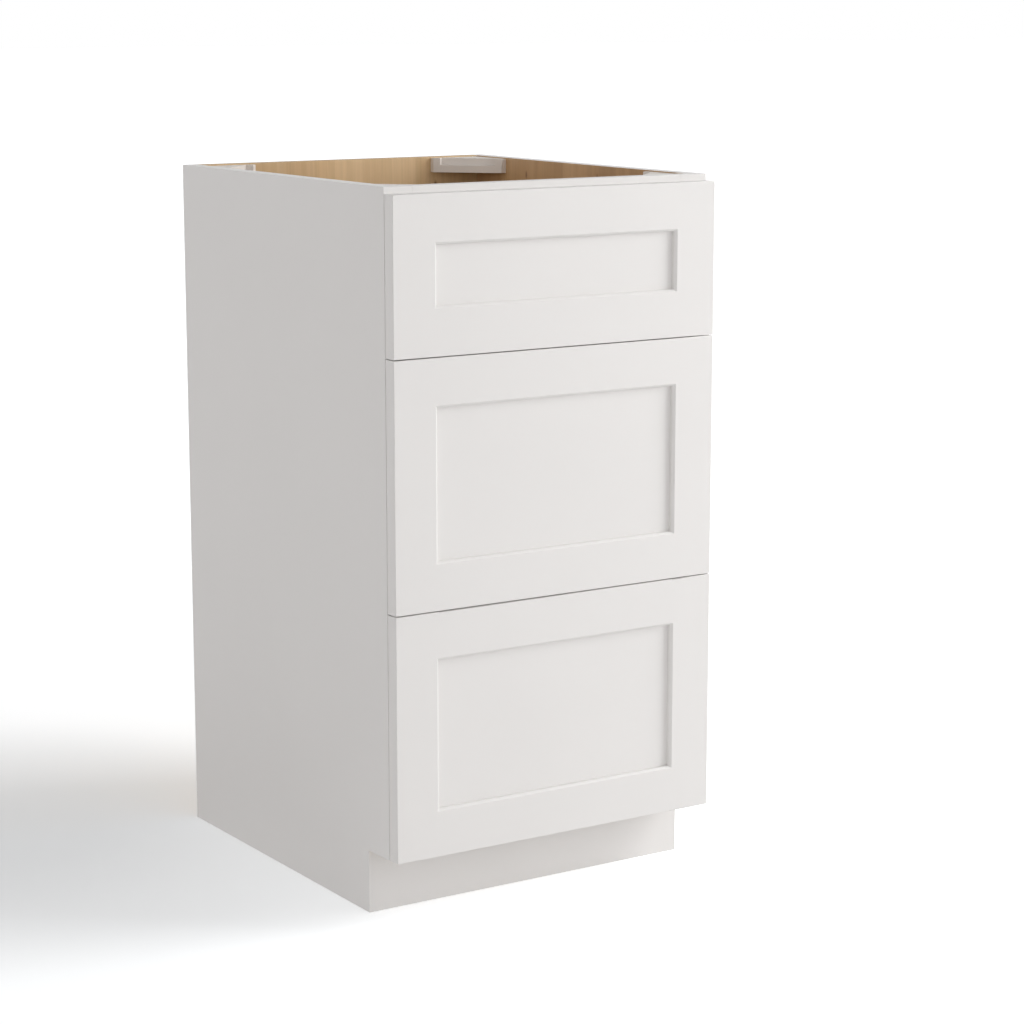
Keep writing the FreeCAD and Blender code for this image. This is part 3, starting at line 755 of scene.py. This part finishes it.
def punched(piece: bpy.types.Object, cutters: list[Shell]) -> None:
    """Take cutters away from a piece's mesh for good.

    Args:
        piece: the object whose mesh is cut.
        cutters: closed shells of what goes.
    """
    tool = new_object("punch", joined(cutters))
    modifier = piece.modifiers.new("punch", "BOOLEAN")
    modifier.operation = "DIFFERENCE"
    modifier.solver = "EXACT"
    modifier.object = tool
    view = bpy.context.evaluated_depsgraph_get()
    mesh = bpy.data.meshes.new_from_object(piece.evaluated_get(view))
    old = piece.data
    piece.modifiers.clear()
    piece.data = mesh
    bpy.data.meshes.remove(old)
    bpy.data.meshes.remove(tool.data)


def smooth_by_angle(mesh: bpy.types.Mesh, limit: float = math.radians(32.0)) -> None:
    """Shade smoothly, and keep the sharp edges sharp.

    Args:
        mesh: the mesh to shade.
        limit: turn between two faces from which their edge is sharp.
    """
    mesh.shade_smooth()
    shape = bmesh.new()
    shape.from_mesh(mesh)
    sharp = [not edge.is_manifold or edge.calc_face_angle() > limit for edge in shape.edges]
    shape.free()
    attribute = mesh.attributes.new("sharp_edge", "BOOLEAN", "EDGE")
    attribute.data.foreach_set("value", sharp)


# ---- Pieces ----

MERGE_DISTANCE = 1e-6
FLAT_ANGLE = math.radians(0.5)
SHARP_ANGLE = math.radians(30.0)
EASING_STEPS = 3
SAME_WAY = 0.9999
SAME_PLACE = 0.01 * MM


@dataclass
class Piece:
    """One piece of the cabinet, in place of one CAD node: built, dressed, and set on its body."""

    node: str

    def build(self) -> bpy.types.Object:
        """Make the piece's mesh."""
        raise NotImplementedError

    def dress(self, made: bpy.types.Object) -> None:
        """Give the mesh its finishes."""
        raise NotImplementedError

    def place(self) -> bpy.types.Object:
        """Build and dress the piece, and put it on the node's body in the node's stead.

        Returns:
            The piece's object.
        """
        made = self.build()
        self.dress(made)
        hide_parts(self.node)
        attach(made, BODY_OF[self.node])
        LOG.info("%s: %d faces on %s", made.name, len(made.data.polygons), BODY_OF[self.node])
        return made


def way_of(words: str) -> Color:
    """Unit vector of a side, or of the slant between sides that are joined by a plus sign."""
    total = np.sum([Side[word].value for word in words.split("+")], axis=0)
    return tuple(total / np.linalg.norm(total))


@dataclass(frozen=True)
class Arris:
    """An edge between two flat faces that is eased.

    Attributes:
        ways: the ways that its two faces look, as unit vectors.
        share: its rounding, as a share of the board's.
        span: lowest and highest place along the edge, or None for all of it.
        outermost: whether only an edge of the board's own box counts, and none of a groove or notch.
    """

    ways: tuple[Color, Color]
    share: float = 1.0
    span: Span | None = None
    outermost: bool = True


def arrises(*pairs: str, **rest: object) -> list[Arris]:
    """Arrises named as two ways with a space between them, such as "FRONT TOP" or "FRONT FRONT+TOP"."""
    return [Arris(tuple(way_of(words) for words in pair.split()), **rest) for pair in pairs]


@dataclass
class Board(Piece):
    """A board or moulding with its true joints: the node's solid with some of its arrises eased.

    Attributes:
        finish: the finish of every face that has no other.
        others: finishes of the faces that look a given way.
        eased: arrises to round, or None for every edge sharper than thirty degrees.
        rounding: width of the rounding.
    """

    finish: Finish
    others: dict[Side, Finish] = field(default_factory=dict)
    eased: list[Arris] | None = field(default_factory=list)
    rounding: float = 0.6 * MM

    def build(self) -> bpy.types.Object:
        """Merge a copy of the node's mesh, cut it where an eased stretch ends, and weigh the arrises.

        Returns:
            The board's object, with a bevel for its easing.
        """
        shape = bmesh.new()
        shape.from_mesh(frame["nodes"][self.node].data)
        bmesh.ops.remove_doubles(shape, verts=shape.verts, dist=MERGE_DISTANCE)
        bmesh.ops.dissolve_limit(shape, angle_limit=FLAT_ANGLE, verts=shape.verts, edges=shape.edges)
        for arris in self.eased or []:
            self.cut_at_span(shape, arris)
        mesh = bpy.data.meshes.new(f"{self.node}_piece")
        shape.to_mesh(mesh)
        if self.eased is not None:
            weights = self.weigh(shape)
            mesh.attributes.new("bevel_weight_edge", "FLOAT", "EDGE").data.foreach_set("value", weights)
        shape.free()
        made = linked(f"{self.node}_piece", mesh)
        bevel = made.modifiers.new("easing", "BEVEL")
        bevel.width = self.rounding
        bevel.segments = EASING_STEPS
        bevel.limit_method = "ANGLE" if self.eased is None else "WEIGHT"
        bevel.angle_limit = SHARP_ANGLE
        return made

    @staticmethod
    def cut_at_span(shape: bmesh.types.BMesh, arris: Arris) -> None:
        """Cut the mesh across an arris, at both ends of its span.

        Args:
            shape: the mesh.
            arris: the arris, with or without a span.
        """
        along = Vector(np.abs(np.cross(*arris.ways)))
        for at in arris.span or ():
            geometry = list(shape.verts) + list(shape.edges) + list(shape.faces)
            bmesh.ops.bisect_plane(shape, geom=geometry, plane_co=along * at, plane_no=along)

    def weigh(self, shape: bmesh.types.BMesh) -> np.ndarray:
        """Share of the rounding that each edge gets, from how its two faces look and where it lies.

        Args:
            shape: the mesh.

        Returns:
            A share for each edge.
        """
        looks = [[face.normal for face in edge.link_faces] for edge in shape.edges]
        normals = np.array([pair if len(pair) == 2 else np.zeros((2, 3)) for pair in looks])
        middles = np.array([(edge.verts[0].co + edge.verts[1].co) / 2 for edge in shape.edges])
        weights = np.zeros(len(looks))
        for arris in self.eased:
            first, second = (np.array(way) for way in arris.ways)
            straight = (normals @ first > SAME_WAY, normals @ second > SAME_WAY)
            chosen = (straight[0][:, 0] & straight[1][:, 1]) | (straight[0][:, 1] & straight[1][:, 0])
            if arris.outermost:
                for way in (first, second):
                    reach = middles @ way
                    chosen &= reach > reach.max() - SAME_PLACE
            if arris.span is not None:
                at = middles @ np.abs(np.cross(first, second))
                chosen &= (at > arris.span[0]) & (at < arris.span[1])
            weights[chosen] = arris.share
        return weights

    def dress(self, made: bpy.types.Object) -> None:
        """Give each face the finish of the side that it looks to most.

        Args:
            made: the board's object.
        """
        mesh = made.data
        for finish in (self.finish, *self.others.values()):
            mesh.materials.append(finish.material())
        normals = np.empty(len(mesh.polygons) * 3, np.float32)
        mesh.polygons.foreach_get("normal", normals)
        likeness = normals.reshape(-1, 3) @ np.array([side.value for side in Side]).T
        looks = likeness.argmax(axis=1)
        place_of = {side: number for number, side in enumerate(self.others, start=1)}
        table = np.array([place_of.get(side, 0) for side in Side], np.int32)
        mesh.polygons.foreach_set("material_index", table[looks])
        mesh.update()


@dataclass
class Formed(Piece):
    """A pressed, moulded or turned piece, whose shells are worked out from its sizes."""

    finish: Finish
    shells: list[Shell]
    slots: list[Shell] = field(default_factory=list)

    def build(self) -> bpy.types.Object:
        """Join the shells and punch the slots.

        Returns:
            The piece's object.
        """
        made = new_object(f"{self.node}_piece", joined(self.shells))
        if self.slots:
            punched(made, self.slots)
        smooth_by_angle(made.data)
        return made

    def dress(self, made: bpy.types.Object) -> None:
        """Give the piece its one finish."""
        made.data.materials.clear()
        made.data.materials.append(self.finish.material())


class SubAssembly:
    """A part of the cabinet that is made of several pieces."""

    def pieces(self) -> list[Piece]:
        """The pieces, with their sizes and finishes."""
        raise NotImplementedError

    def assemble(self) -> None:
        """Place every piece."""
        LOG.info("%s", type(self).__name__)
        for piece in self.pieces():
            piece.place()


# ---- Carcass ----


@dataclass
class Carcass(SubAssembly):
    """Side panels, bottom, back, hanging rail and toe board."""

    rounding: float = 0.5 * MM
    back_rounding: float = 0.3 * MM
    frame_gap: float = 1.5 * MM

    def side(self, side_name: str, outer: str, inner: str) -> Board:
        """A side panel: painted outside and on its edges, veneered inside in painted shade, bare plywood
        behind.

        Args:
            side_name: left or right.
            outer: the way that its outer face looks.
            inner: the way that its inner face looks.

        Returns:
            The panel.
        """
        toe_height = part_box("face_frame_left_stile")[0].z - self.frame_gap
        eased = arrises(f"{outer} TOP", f"{inner} TOP", f"{outer} BACK", "TOP BACK", f"{outer} UNDER")
        eased += arrises(f"{outer} FRONT", span=(0.0, toe_height), outermost=False)
        # The inner face takes the veneer's darker copy, which carries painted shade.
        others = {Side[inner]: FINISHES.side_veneer_painted_shade,
                  Side.BACK: FINISHES.ply_x, Side.UNDER: FINISHES.ply_x}
        return Board(f"{side_name}_side_panel", FINISHES.paint, others, eased, self.rounding)

    def pieces(self) -> list[Piece]:
        """The six boards of the carcass.

        Returns:
            The boards.
        """
        sheet_edges = {Side.TOP: FINISHES.ply_y, Side.UNDER: FINISHES.ply_y}
        floor_edges = {Side.FRONT: FINISHES.ply_z, Side.BACK: FINISHES.ply_z}
        toe_faces = {Side.BACK: FINISHES.panel_veneer, Side.TOP: FINISHES.ply_y, Side.UNDER: FINISHES.ply_y}
        return [
            self.side("left", "LEFT", "RIGHT"),
            self.side("right", "RIGHT", "LEFT"),
            Board("bottom_panel", FINISHES.panel_veneer, floor_edges),
            Board("back_panel", FINISHES.veneer, sheet_edges, arrises("TOP FRONT", "TOP BACK"),
                  self.back_rounding),
            Board("hanging_rail", FINISHES.veneer, sheet_edges, arrises("TOP FRONT", "FRONT UNDER")),
            Board("toe_kick_board", FINISHES.paint, toe_faces),
        ]


@dataclass
class FaceFrame(SubAssembly):
    """Two stiles and four rails, with hairlines where they meet.

    Attributes:
        rounding: width of the rounding.
        hairline: share of it at the joints, in front.
        top_hairline: share of it at the joints, on top.
        outer_arris: share of it along the stiles' outer front edges.
    """

    rounding: float = 0.6 * MM
    hairline: float = 0.6
    top_hairline: float = 0.95
    outer_arris: float = 0.3

    def pieces(self) -> list[Piece]:
        """The six boards of the frame.

        Returns:
            The stiles, then the rails.
        """
        made: list[Piece] = []
        for side_name, outer, inner in (("left", "LEFT", "RIGHT"), ("right", "RIGHT", "LEFT")):
            eased = arrises(f"{outer} TOP", "FRONT TOP", f"{outer} UNDER", "FRONT UNDER")
            eased += arrises(f"{inner} FRONT", share=self.hairline)
            eased += arrises(f"{inner} TOP", share=self.top_hairline)
            eased += arrises(f"{outer} FRONT", share=self.outer_arris)
            made.append(Board(f"face_frame_{side_name}_stile", FINISHES.paint, {}, eased, self.rounding))
        ends = arrises("LEFT FRONT", "RIGHT FRONT", share=self.hairline)
        ends += arrises("LEFT TOP", "RIGHT TOP", share=self.top_hairline)
        along = arrises("FRONT TOP", "FRONT UNDER", "BACK TOP")
        for rail in ("bottom_rail", "lower_middle_rail", "upper_middle_rail", "top_rail"):
            made.append(Board(f"face_frame_{rail}", FINISHES.paint, {}, along + ends, self.rounding))
        return made


# ---- Screws, braces and bumpers ----


@dataclass
class Screw:
    """Pan-head screw with a cross recess, its head above Z = 0 and its shank below."""

    head_radius: float = 4.0 * MM
    head_height: float = 2.2 * MM
    shank_radius: float = 2.0 * MM
    shank_length: float = 14.0 * MM
    recess_radius: float = 2.3 * MM
    recess_depth: float = 1.3 * MM
    arm_half_width: float = 0.42 * MM
    tip: Span = (0.4 * MM, 4.4 * MM)
    rim_power: float = 0.6
    under_head: float = 0.97
    crown_rings: tuple[float, ...] = (1.1, 0.85, 0.6, 0.35, 0.12)
    around: int = 32

    def shell(self) -> Shell:
        """The screw from its point up: a cone, a shank, and a head whose rim is nearly a quarter ellipse.

        The rim's radius is the head's times a power of a cosine, and its height the head's times the
        sine.  The recess sinks where the smaller of |x| and |y|, the offset from an arm's middle line,
        is less than half an arm's width: its depth falls with the square of that offset, and with the
        root of the distance left to the recess's radius.

        Returns:
            The closed surface.
        """
        lift = np.linspace(0.0, np.pi / 2, END_POINTS)[:-1]
        rim = self.head_radius * np.cos(lift) ** self.rim_power
        head = np.stack([rim, self.head_height * np.sin(lift)], axis=-1)
        crown = np.array([[share * self.recess_radius, self.head_height] for share in self.crown_rings])
        head = head[head[:, 0] > crown[0, 0]]
        tip_radius, tip_length = self.tip
        shank = np.array([[tip_radius, -self.shank_length],
                          [self.shank_radius, -self.shank_length + tip_length],
                          [self.shank_radius, 0.0], [self.head_radius * self.under_head, 0.0]])
        profile = np.concatenate([shank, head, crown])
        angle = np.linspace(0.0, 2.0 * np.pi, self.around, endpoint=False)
        radius = profile[:, 0, None]
        off_arm = np.minimum(np.abs(radius * np.cos(angle)), np.abs(radius * np.sin(angle)))
        arm = np.clip(1.0 - (off_arm / self.arm_half_width) ** 2, 0.0, 1.0)
        inwards = np.clip(1.0 - radius / self.recess_radius, 0.0, 1.0) ** 0.5
        on_crown = (np.arange(len(profile)) >= len(profile) - len(crown))[:, None]
        return turned_profile(profile, self.around, on_crown * arm * inwards * self.recess_depth)


def driven(shell: Shell, start: Color, direction: Color) -> Shell:
    """Turn and move a screw whose shank lies along its own -Z.

    Args:
        shell: the screw.
        start: where the underside of its head goes.
        direction: the way that the shank points, level.

    Returns:
        The screw in its place.
    """
    head_way = -np.asarray(direction, float)
    aside = np.cross(head_way, Side.TOP.value)
    return shell.turned(np.array([aside, np.cross(head_way, aside), head_way])).moved(start)


@dataclass
class CornerBraces(SubAssembly):
    """Four moulded braces under the top edge, each with two screws."""

    rounding: float = 0.5 * MM
    wall: float = 3.0 * MM
    side_hole: float = 50.0 * MM

    def pieces(self) -> list[Piece]:
        """The braces, and all their screws as one piece.

        Returns:
            Five pieces.
        """
        corners = {"front_left": (-1, -1), "front_right": (1, -1), "back_right": (1, 1), "back_left": (-1, 1)}
        screw = Screw().shell()
        made: list[Piece] = []
        screws = []
        for corner, (right, back) in corners.items():
            node = f"{corner}_corner_brace"
            # The braces' plastic carries painted shade in its colour.
            made.append(Board(node, FINISHES.white_plastic, {}, None, self.rounding))
            low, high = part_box(node)
            wall_x = high.x if right > 0 else low.x
            wall_y = high.y if back > 0 else low.y
            middle = (low.z + high.z) / 2
            screws.append(driven(screw, (wall_x - right * self.wall, wall_y - back * self.side_hole, middle),
                                 (right, 0.0, 0.0)))
            screws.append(driven(screw, (wall_x - right * self.side_hole, wall_y - back * self.wall, middle),
                                 (0.0, back, 0.0)))
        made.append(Formed("corner_brace_screws", FINISHES.zinc, screws))
        return made


@dataclass
class Bumpers(SubAssembly):
    """Clear domes on the face frame, behind the corners of the drawer fronts."""

    radius: float = 4.0 * MM
    inset: float = 13.0 * MM
    flat_share: float = 0.25
    rings: int = 7
    around: int = 24

    def pieces(self) -> list[Piece]:
        """Twelve domes: each a quarter ellipse turned round the axis that points to the front.

        Returns:
            One piece that holds them all.
        """
        face, frame_face = (corner.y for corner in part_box("drawer_bumpers"))
        height = frame_face - face
        lift = np.linspace(0.0, np.pi / 2, self.rings)[:-1]
        profile = np.stack([self.radius * np.cos(lift), height * np.sin(lift)], axis=-1)
        last = [[self.flat_share * self.radius, height]]
        dome = turned_profile(np.concatenate([profile, last]), self.around)
        forward = dome.turned(TO_FRONT)
        domes = []
        for drawer in DRAWERS:
            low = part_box(f"{drawer}_front_left_stile")[0]
            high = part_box(f"{drawer}_front_right_stile")[1]
            for x in (low.x + self.inset, high.x - self.inset):
                for z in (low.z + self.inset, high.z - self.inset):
                    domes.append(forward.moved((x, frame_face, z)))
        return [Formed("drawer_bumpers", FINISHES.rubber, domes)]


# ---- Runners ----

BAR_POINTS = 7


@dataclass
class Runners(SubAssembly):
    """Concealed runners: fixed rails, sockets, middle members, drawer members, clips and screws."""

    steel: float = 1.5 * MM
    bend: float = 1.6 * MM
    rail_half_width: float = 11.0 * MM
    rail_drop: float = 5.0 * MM
    rail_leg_height: float = 4.2 * MM
    rail_wall_rise: float = 18.0 * MM
    rail_screw_rise: float = 11.0 * MM
    middle_half_width: float = 8.5 * MM
    carrier_half_width: float = 12.0 * MM
    socket_wall: float = 3.0 * MM
    socket_screw_rise: float = 1.0 * MM
    socket_screw_pitch: float = 13.0 * MM
    socket_rounding: float = 0.4 * MM
    clip_rounding: float = 0.5 * MM
    punch_depth: float = 6.0 * MM
    rail_slot: Span = (26 * MM, 6 * MM)
    rail_slot_count: int = 7
    rail_slot_inset: float = 45 * MM
    rail_hole: Span = (11 * MM, 5 * MM)
    rail_hole_shift: float = 22 * MM
    middle_slot: Span = (22 * MM, 5 * MM)
    middle_slot_pitch: float = 50 * MM
    carrier_slot: Span = (14 * MM, 6 * MM)
    carrier_slot_pitch: float = 71 * MM

    def centre(self) -> float:
        """Distance of a runner's middle line from the cabinet's."""
        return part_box("top_runner_middle_members")[1].x - self.middle_half_width

    def rail(self, side: int, low: float) -> tuple[list[Shell], list[Shell]]:
        """A fixed rail and its slots.

        Args:
            side: -1 on the left, 1 on the right.
            low: height of the drawer box's lower edge.

        Returns:
            The bent sheet and its middle leg, and the prisms that punch its slots.
        """
        start, end = (corner.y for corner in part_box("cabinet_runner_rails"))
        half = self.steel / 2
        inner = self.centre() - self.rail_half_width + half
        leg = self.centre() + self.rail_half_width - half
        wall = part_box("cabinet_runner_rails")[1].x - half
        floor = low - self.rail_drop + half
        top = low - self.rail_drop + self.rail_leg_height
        path = [(side * inner, top), (side * inner, floor), (side * wall, floor),
                (side * wall, low + self.rail_wall_rise)]
        sheet = carried(sheet_outline(path, self.steel, self.bend), start, end)
        middle_leg = carried(self.bar(side * leg, half, floor, top), start, end)
        places = np.linspace(start + self.rail_slot_inset, end - self.rail_slot_inset, self.rail_slot_count)
        wing = side * (leg + wall) / 2
        hole_height = low + self.rail_screw_rise
        slots = [slot_shell((wing, y, floor), *self.rail_slot, LYING, self.punch_depth) for y in places]
        slots += [slot_shell((side * wall, y, hole_height), *self.rail_hole, STANDING, self.punch_depth)
                  for y in places[:-1] + self.rail_hole_shift]
        return [sheet, middle_leg], slots

    @staticmethod
    def bar(x: float, half: float, low: float, high: float) -> np.ndarray:
        """Outline of a thin upright bar, with a half circle for its top.

        Args:
            x: the bar's middle.
            half: half its thickness.
            low: height of its foot.
            high: height of its top.

        Returns:
            X and Z of its points, anticlockwise.
        """
        turn = np.linspace(0.0, np.pi, BAR_POINTS)
        crown = np.stack([x + half * np.cos(turn), high - half + half * np.sin(turn)], axis=-1)
        return np.concatenate([[[x - half, low], [x + half, low]], crown])

    def channel(self, node: str, half_width: float, pitch: float, slot: Span) -> Formed:
        """A pair of channels that are open below, with a row of slots along the top.

        The first slot is half a pitch from the front end, and the last over a third from the back end.

        Args:
            node: the CAD node of the pair.
            half_width: half the channel's width.
            pitch: distance between slots.
            slot: length and width of a slot.

        Returns:
            The pair as one piece.
        """
        low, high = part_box(node)
        half = self.steel / 2
        shells, slots = [], []
        for side in (-1, 1):
            x = side * self.centre()
            reach = half_width - half
            roof = high.z - half
            path = [(x - reach, low.z), (x - reach, roof), (x + reach, roof), (x + reach, low.z)]
            shells.append(carried(sheet_outline(path, self.steel, self.bend), low.y, high.y))
            for y in np.arange(low.y + pitch / 2, high.y - pitch / 3, pitch):
                slots.append(slot_shell((x, y, roof), *slot, LYING, self.punch_depth))
        return Formed(node, FINISHES.zinc, shells, slots)

    def pieces(self) -> list[Piece]:
        """Every piece of the six runners.

        Returns:
            The moving members and clips of each drawer, then the rails, the sockets and the screws.
        """
        made: list[Piece] = []
        rails, slots, screws = [], [], []
        screw = Screw().shell()
        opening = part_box("cabinet_runner_rails")[1].x
        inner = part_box("runner_rear_sockets")[1].x
        stile_low, stile_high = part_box("face_frame_left_stile")
        screw_y = (stile_low.y + stile_high.y) / 2
        socket_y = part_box("runner_screws")[1].y - Screw().head_radius
        for drawer in DRAWERS:
            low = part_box(f"{drawer}_box_front")[0].z
            for side in (-1, 1):
                sheet, punches = self.rail(side, low)
                rails += sheet
                slots += punches
                way = (float(side), 0.0, 0.0)
                height = low + self.rail_screw_rise
                screws.append(driven(screw, (side * (opening - self.steel), screw_y, height), way))
                for number in range(2):
                    height = low + self.socket_screw_rise + number * self.socket_screw_pitch
                    screws.append(driven(screw, (side * (inner - self.socket_wall), socket_y, height), way))
            made.append(self.channel(f"{drawer}_runner_middle_members", self.middle_half_width,
                                     self.middle_slot_pitch, self.middle_slot))
            made.append(self.channel(f"{drawer}_drawer_runner_members", self.carrier_half_width,
                                     self.carrier_slot_pitch, self.carrier_slot))
            made.append(Board(f"{drawer}_drawer_locking_clips", FINISHES.grey_plastic, {}, None,
                              self.clip_rounding))
        made.append(Formed("cabinet_runner_rails", FINISHES.zinc, rails, slots))
        made.append(Board("runner_rear_sockets", FINISHES.white_plastic, {}, None, self.socket_rounding))
        made.append(Formed("runner_screws", FINISHES.zinc, screws))
        return made


# ---- Drawers ----


@dataclass
class DrawerFront(SubAssembly):
    """Painted front of one drawer, softened by the paint along both edges of the recess's chamfer."""

    drawer: str
    rounding: float = 0.5 * MM

    def chamfered(self, inner: str) -> list[Arris]:
        """Arrises beside the chamfer of a member whose inner edge looks a given way."""
        return arrises(f"FRONT FRONT+{inner}", f"FRONT+{inner} {inner}", outermost=False)

    def pieces(self) -> list[Piece]:
        """Two stiles, two rails and the panel.

        Returns:
            Five boards.
        """
        members = {"left_stile": "RIGHT", "right_stile": "LEFT", "top_rail": "UNDER", "bottom_rail": "TOP"}
        prefix = f"{self.drawer}_front"
        made: list[Piece] = []
        for member, inner in members.items():
            eased = self.chamfered(inner)
            made.append(Board(f"{prefix}_{member}", FINISHES.paint, {}, eased, self.rounding))
        made.append(Board(f"{prefix}_panel", FINISHES.paint))
        return made


@dataclass
class DrawerBox(SubAssembly):
    """Dovetailed maple box of one drawer."""

    drawer: str
    rounding: float = 1.0 * MM

    def pieces(self) -> list[Piece]:
        """Two sides, the front, the back and the bottom.

        Returns:
            Five boards.
        """
        prefix = f"{self.drawer}_box"
        made: list[Piece] = []
        side_ends = {Side.FRONT: FINISHES.end_grain, Side.BACK: FINISHES.end_grain}
        for side_name in ("left", "right"):
            eased = arrises("LEFT TOP", "RIGHT TOP")
            node = f"{prefix}_{side_name}_side"
            made.append(Board(node, FINISHES.side_maple, side_ends, eased, self.rounding))
        pin_ends = {Side.LEFT: FINISHES.end_grain, Side.RIGHT: FINISHES.end_grain}
        for end in ("front", "back"):
            eased = arrises("FRONT TOP", "BACK TOP")
            made.append(Board(f"{prefix}_{end}", FINISHES.end_maple, pin_ends, eased, self.rounding))
        made.append(Board(f"{prefix}_bottom", FINISHES.drawer_veneer))
        return made


# ---- Studio ----


def aimed(name: str, data: bpy.types.ID, place: Color, way: Vector) -> bpy.types.Object:
    """A lamp or a camera that looks one way.

    Args:
        name: its name.
        data: what it holds.
        place: where it stands.
        way: the way that it looks.

    Returns:
        The object.
    """
    made = linked(name, data)
    made.location = place
    made.rotation_mode = "QUATERNION"
    made.rotation_quaternion = way.to_track_quat("-Z", "Y")
    return made


@dataclass
class Studio:
    """White floor and surround, a tall soft key light at the right, and the camera.

    The camera's place, heading, dip and focal length come from a least-squares fit to the edges and
    corners of the photographed cabinet, in a square frame.
    """

    camera_place: Color = (-1.7748, -2.8999, 1.0798)
    heading: float = math.radians(32.962)
    dip: float = math.radians(10.686)
    lens: float = 94.55
    sensor: float = 36.0
    floor_reach: float = 60.0
    floor_color: Color = (0.905, 0.90, 0.90)
    floor_seen: Color = (1.12, 1.15, 1.17)
    shadow_core: Color = (-0.45, 0.30, 0.0)
    lift_reach: float = 4.0
    # Painted glow for the camera, by distance from shadow_core over lift_reach: it lightens the floor's
    # shadow towards its edges.
    lift: tuple[Span, ...] = ((0.0, 0.163), (0.025, 0.164), (0.05, 0.19), (0.075, 0.227), (0.10, 0.254),
                              (0.125, 0.296), (0.15, 0.345), (0.175, 0.366), (0.20, 0.385), (0.25, 0.41),
                              (0.60, 0.75))
    sky_tint: Color = (1.012, 0.996, 0.992)
    sky: tuple[Span, ...] = ((0.0, 1.52), (0.15, 1.52), (0.45, 0.37), (1.0, 0.22))
    key_place: Color = (2.690, -1.624, 1.991)
    key_target: Color = (0.0, 0.0, 0.450)
    key_width: float = 1.73
    key_height: float = 2.50
    key_power: float = 69.5

    def light(self) -> None:
        """Set the surround, whose glow falls from the horizon to straight above, and the key."""
        world = bpy.data.worlds.new("studio")
        bpy.context.scene.world = world
        graph = Graph(world)
        way = graph.add("ShaderNodeTexCoord").outputs["Generated"]
        rise = graph.add("ShaderNodeSeparateXYZ", {0: way}).outputs[2]
        sky = graph.ramp(rise, tuple((at, shade(self.sky_tint, level)) for at, level in self.sky))
        around = graph.add("ShaderNodeBackground", {"Color": sky, "Strength": 1.0})
        white = graph.add("ShaderNodeBackground", {"Color": (*WHITE, 1.0), "Strength": 1.0})
        surface = graph.by_ray(around.outputs[0], white.outputs[0])
        graph.add("ShaderNodeOutputWorld", {"Surface": surface})
        key = bpy.data.lights.new("key", "AREA")
        key.shape = "RECTANGLE"
        key.size = self.key_width
        key.size_y = self.key_height
        key.energy = self.key_power
        aimed("key", key, self.key_place, Vector(self.key_target) - Vector(self.key_place))

    def lay_floor(self) -> None:
        """Lay the floor: pale for light that bounces, and white with the shadow for the camera.

        What the camera sees is lifted by a painted glow that grows with the distance from the shadow's
        middle: near the cabinet it paints the shadow lighter towards its edges, and further out it keeps
        the floor white out to the horizon, where the key no longer reaches.
        """
        reach = self.floor_reach
        corners = [(-reach, -reach, 0.0), (reach, -reach, 0.0), (reach, reach, 0.0), (-reach, reach, 0.0)]
        floor = new_object("studio_floor", Shell(np.array(corners), [[0, 1, 2, 3]]))
        material = bpy.data.materials.new("studio_floor")
        graph = Graph(material)
        plain = graph.add("ShaderNodeBsdfDiffuse", {"Color": (*self.floor_color, 1.0)})
        bright = graph.add("ShaderNodeBsdfDiffuse", {"Color": (*self.floor_seen, 1.0)})
        distance = graph.length(graph.place(shift=shade(self.shadow_core, -1.0)))
        share = graph.math("DIVIDE", distance, self.lift_reach)
        glow = graph.ramp(share, tuple((at, shade(WHITE, value)) for at, value in self.lift))
        lift = graph.add("ShaderNodeEmission", {"Color": glow, "Strength": 1.0})
        lifted = graph.add("ShaderNodeAddShader", {0: bright.outputs[0], 1: lift.outputs[0]})
        surface = graph.by_ray(plain.outputs[0], lifted.outputs[0])
        graph.add("ShaderNodeOutputMaterial", {"Surface": surface})
        floor.data.materials.append(material)

    def aim(self) -> None:
        """Make the camera and give it to the scene."""
        data = bpy.data.cameras.new("camera")
        data.sensor_width = self.sensor
        data.lens = self.lens
        level = math.cos(self.dip)
        way = Vector((math.sin(self.heading) * level, math.cos(self.heading) * level, -math.sin(self.dip)))
        bpy.context.scene.camera = aimed("camera", data, self.camera_place, way)

    def set_up(self) -> None:
        """Light the scene, lay the floor and aim the camera."""
        bpy.context.scene.view_settings.view_transform = "Standard"
        self.light()
        self.lay_floor()
        self.aim()


def main() -> None:
    """Build every sub-assembly in order, then the studio."""
    logging.basicConfig(level=logging.INFO, format="%(name)s: %(message)s")
    assemblies: list[SubAssembly] = [Carcass(), FaceFrame(), CornerBraces(), Bumpers(), Runners()]
    for drawer in DRAWERS:
        assemblies += [DrawerFront(drawer), DrawerBox(drawer)]
    for assembly in assemblies:
        assembly.assemble()
    Studio().set_up()


if __name__ == "__main__":
    main()
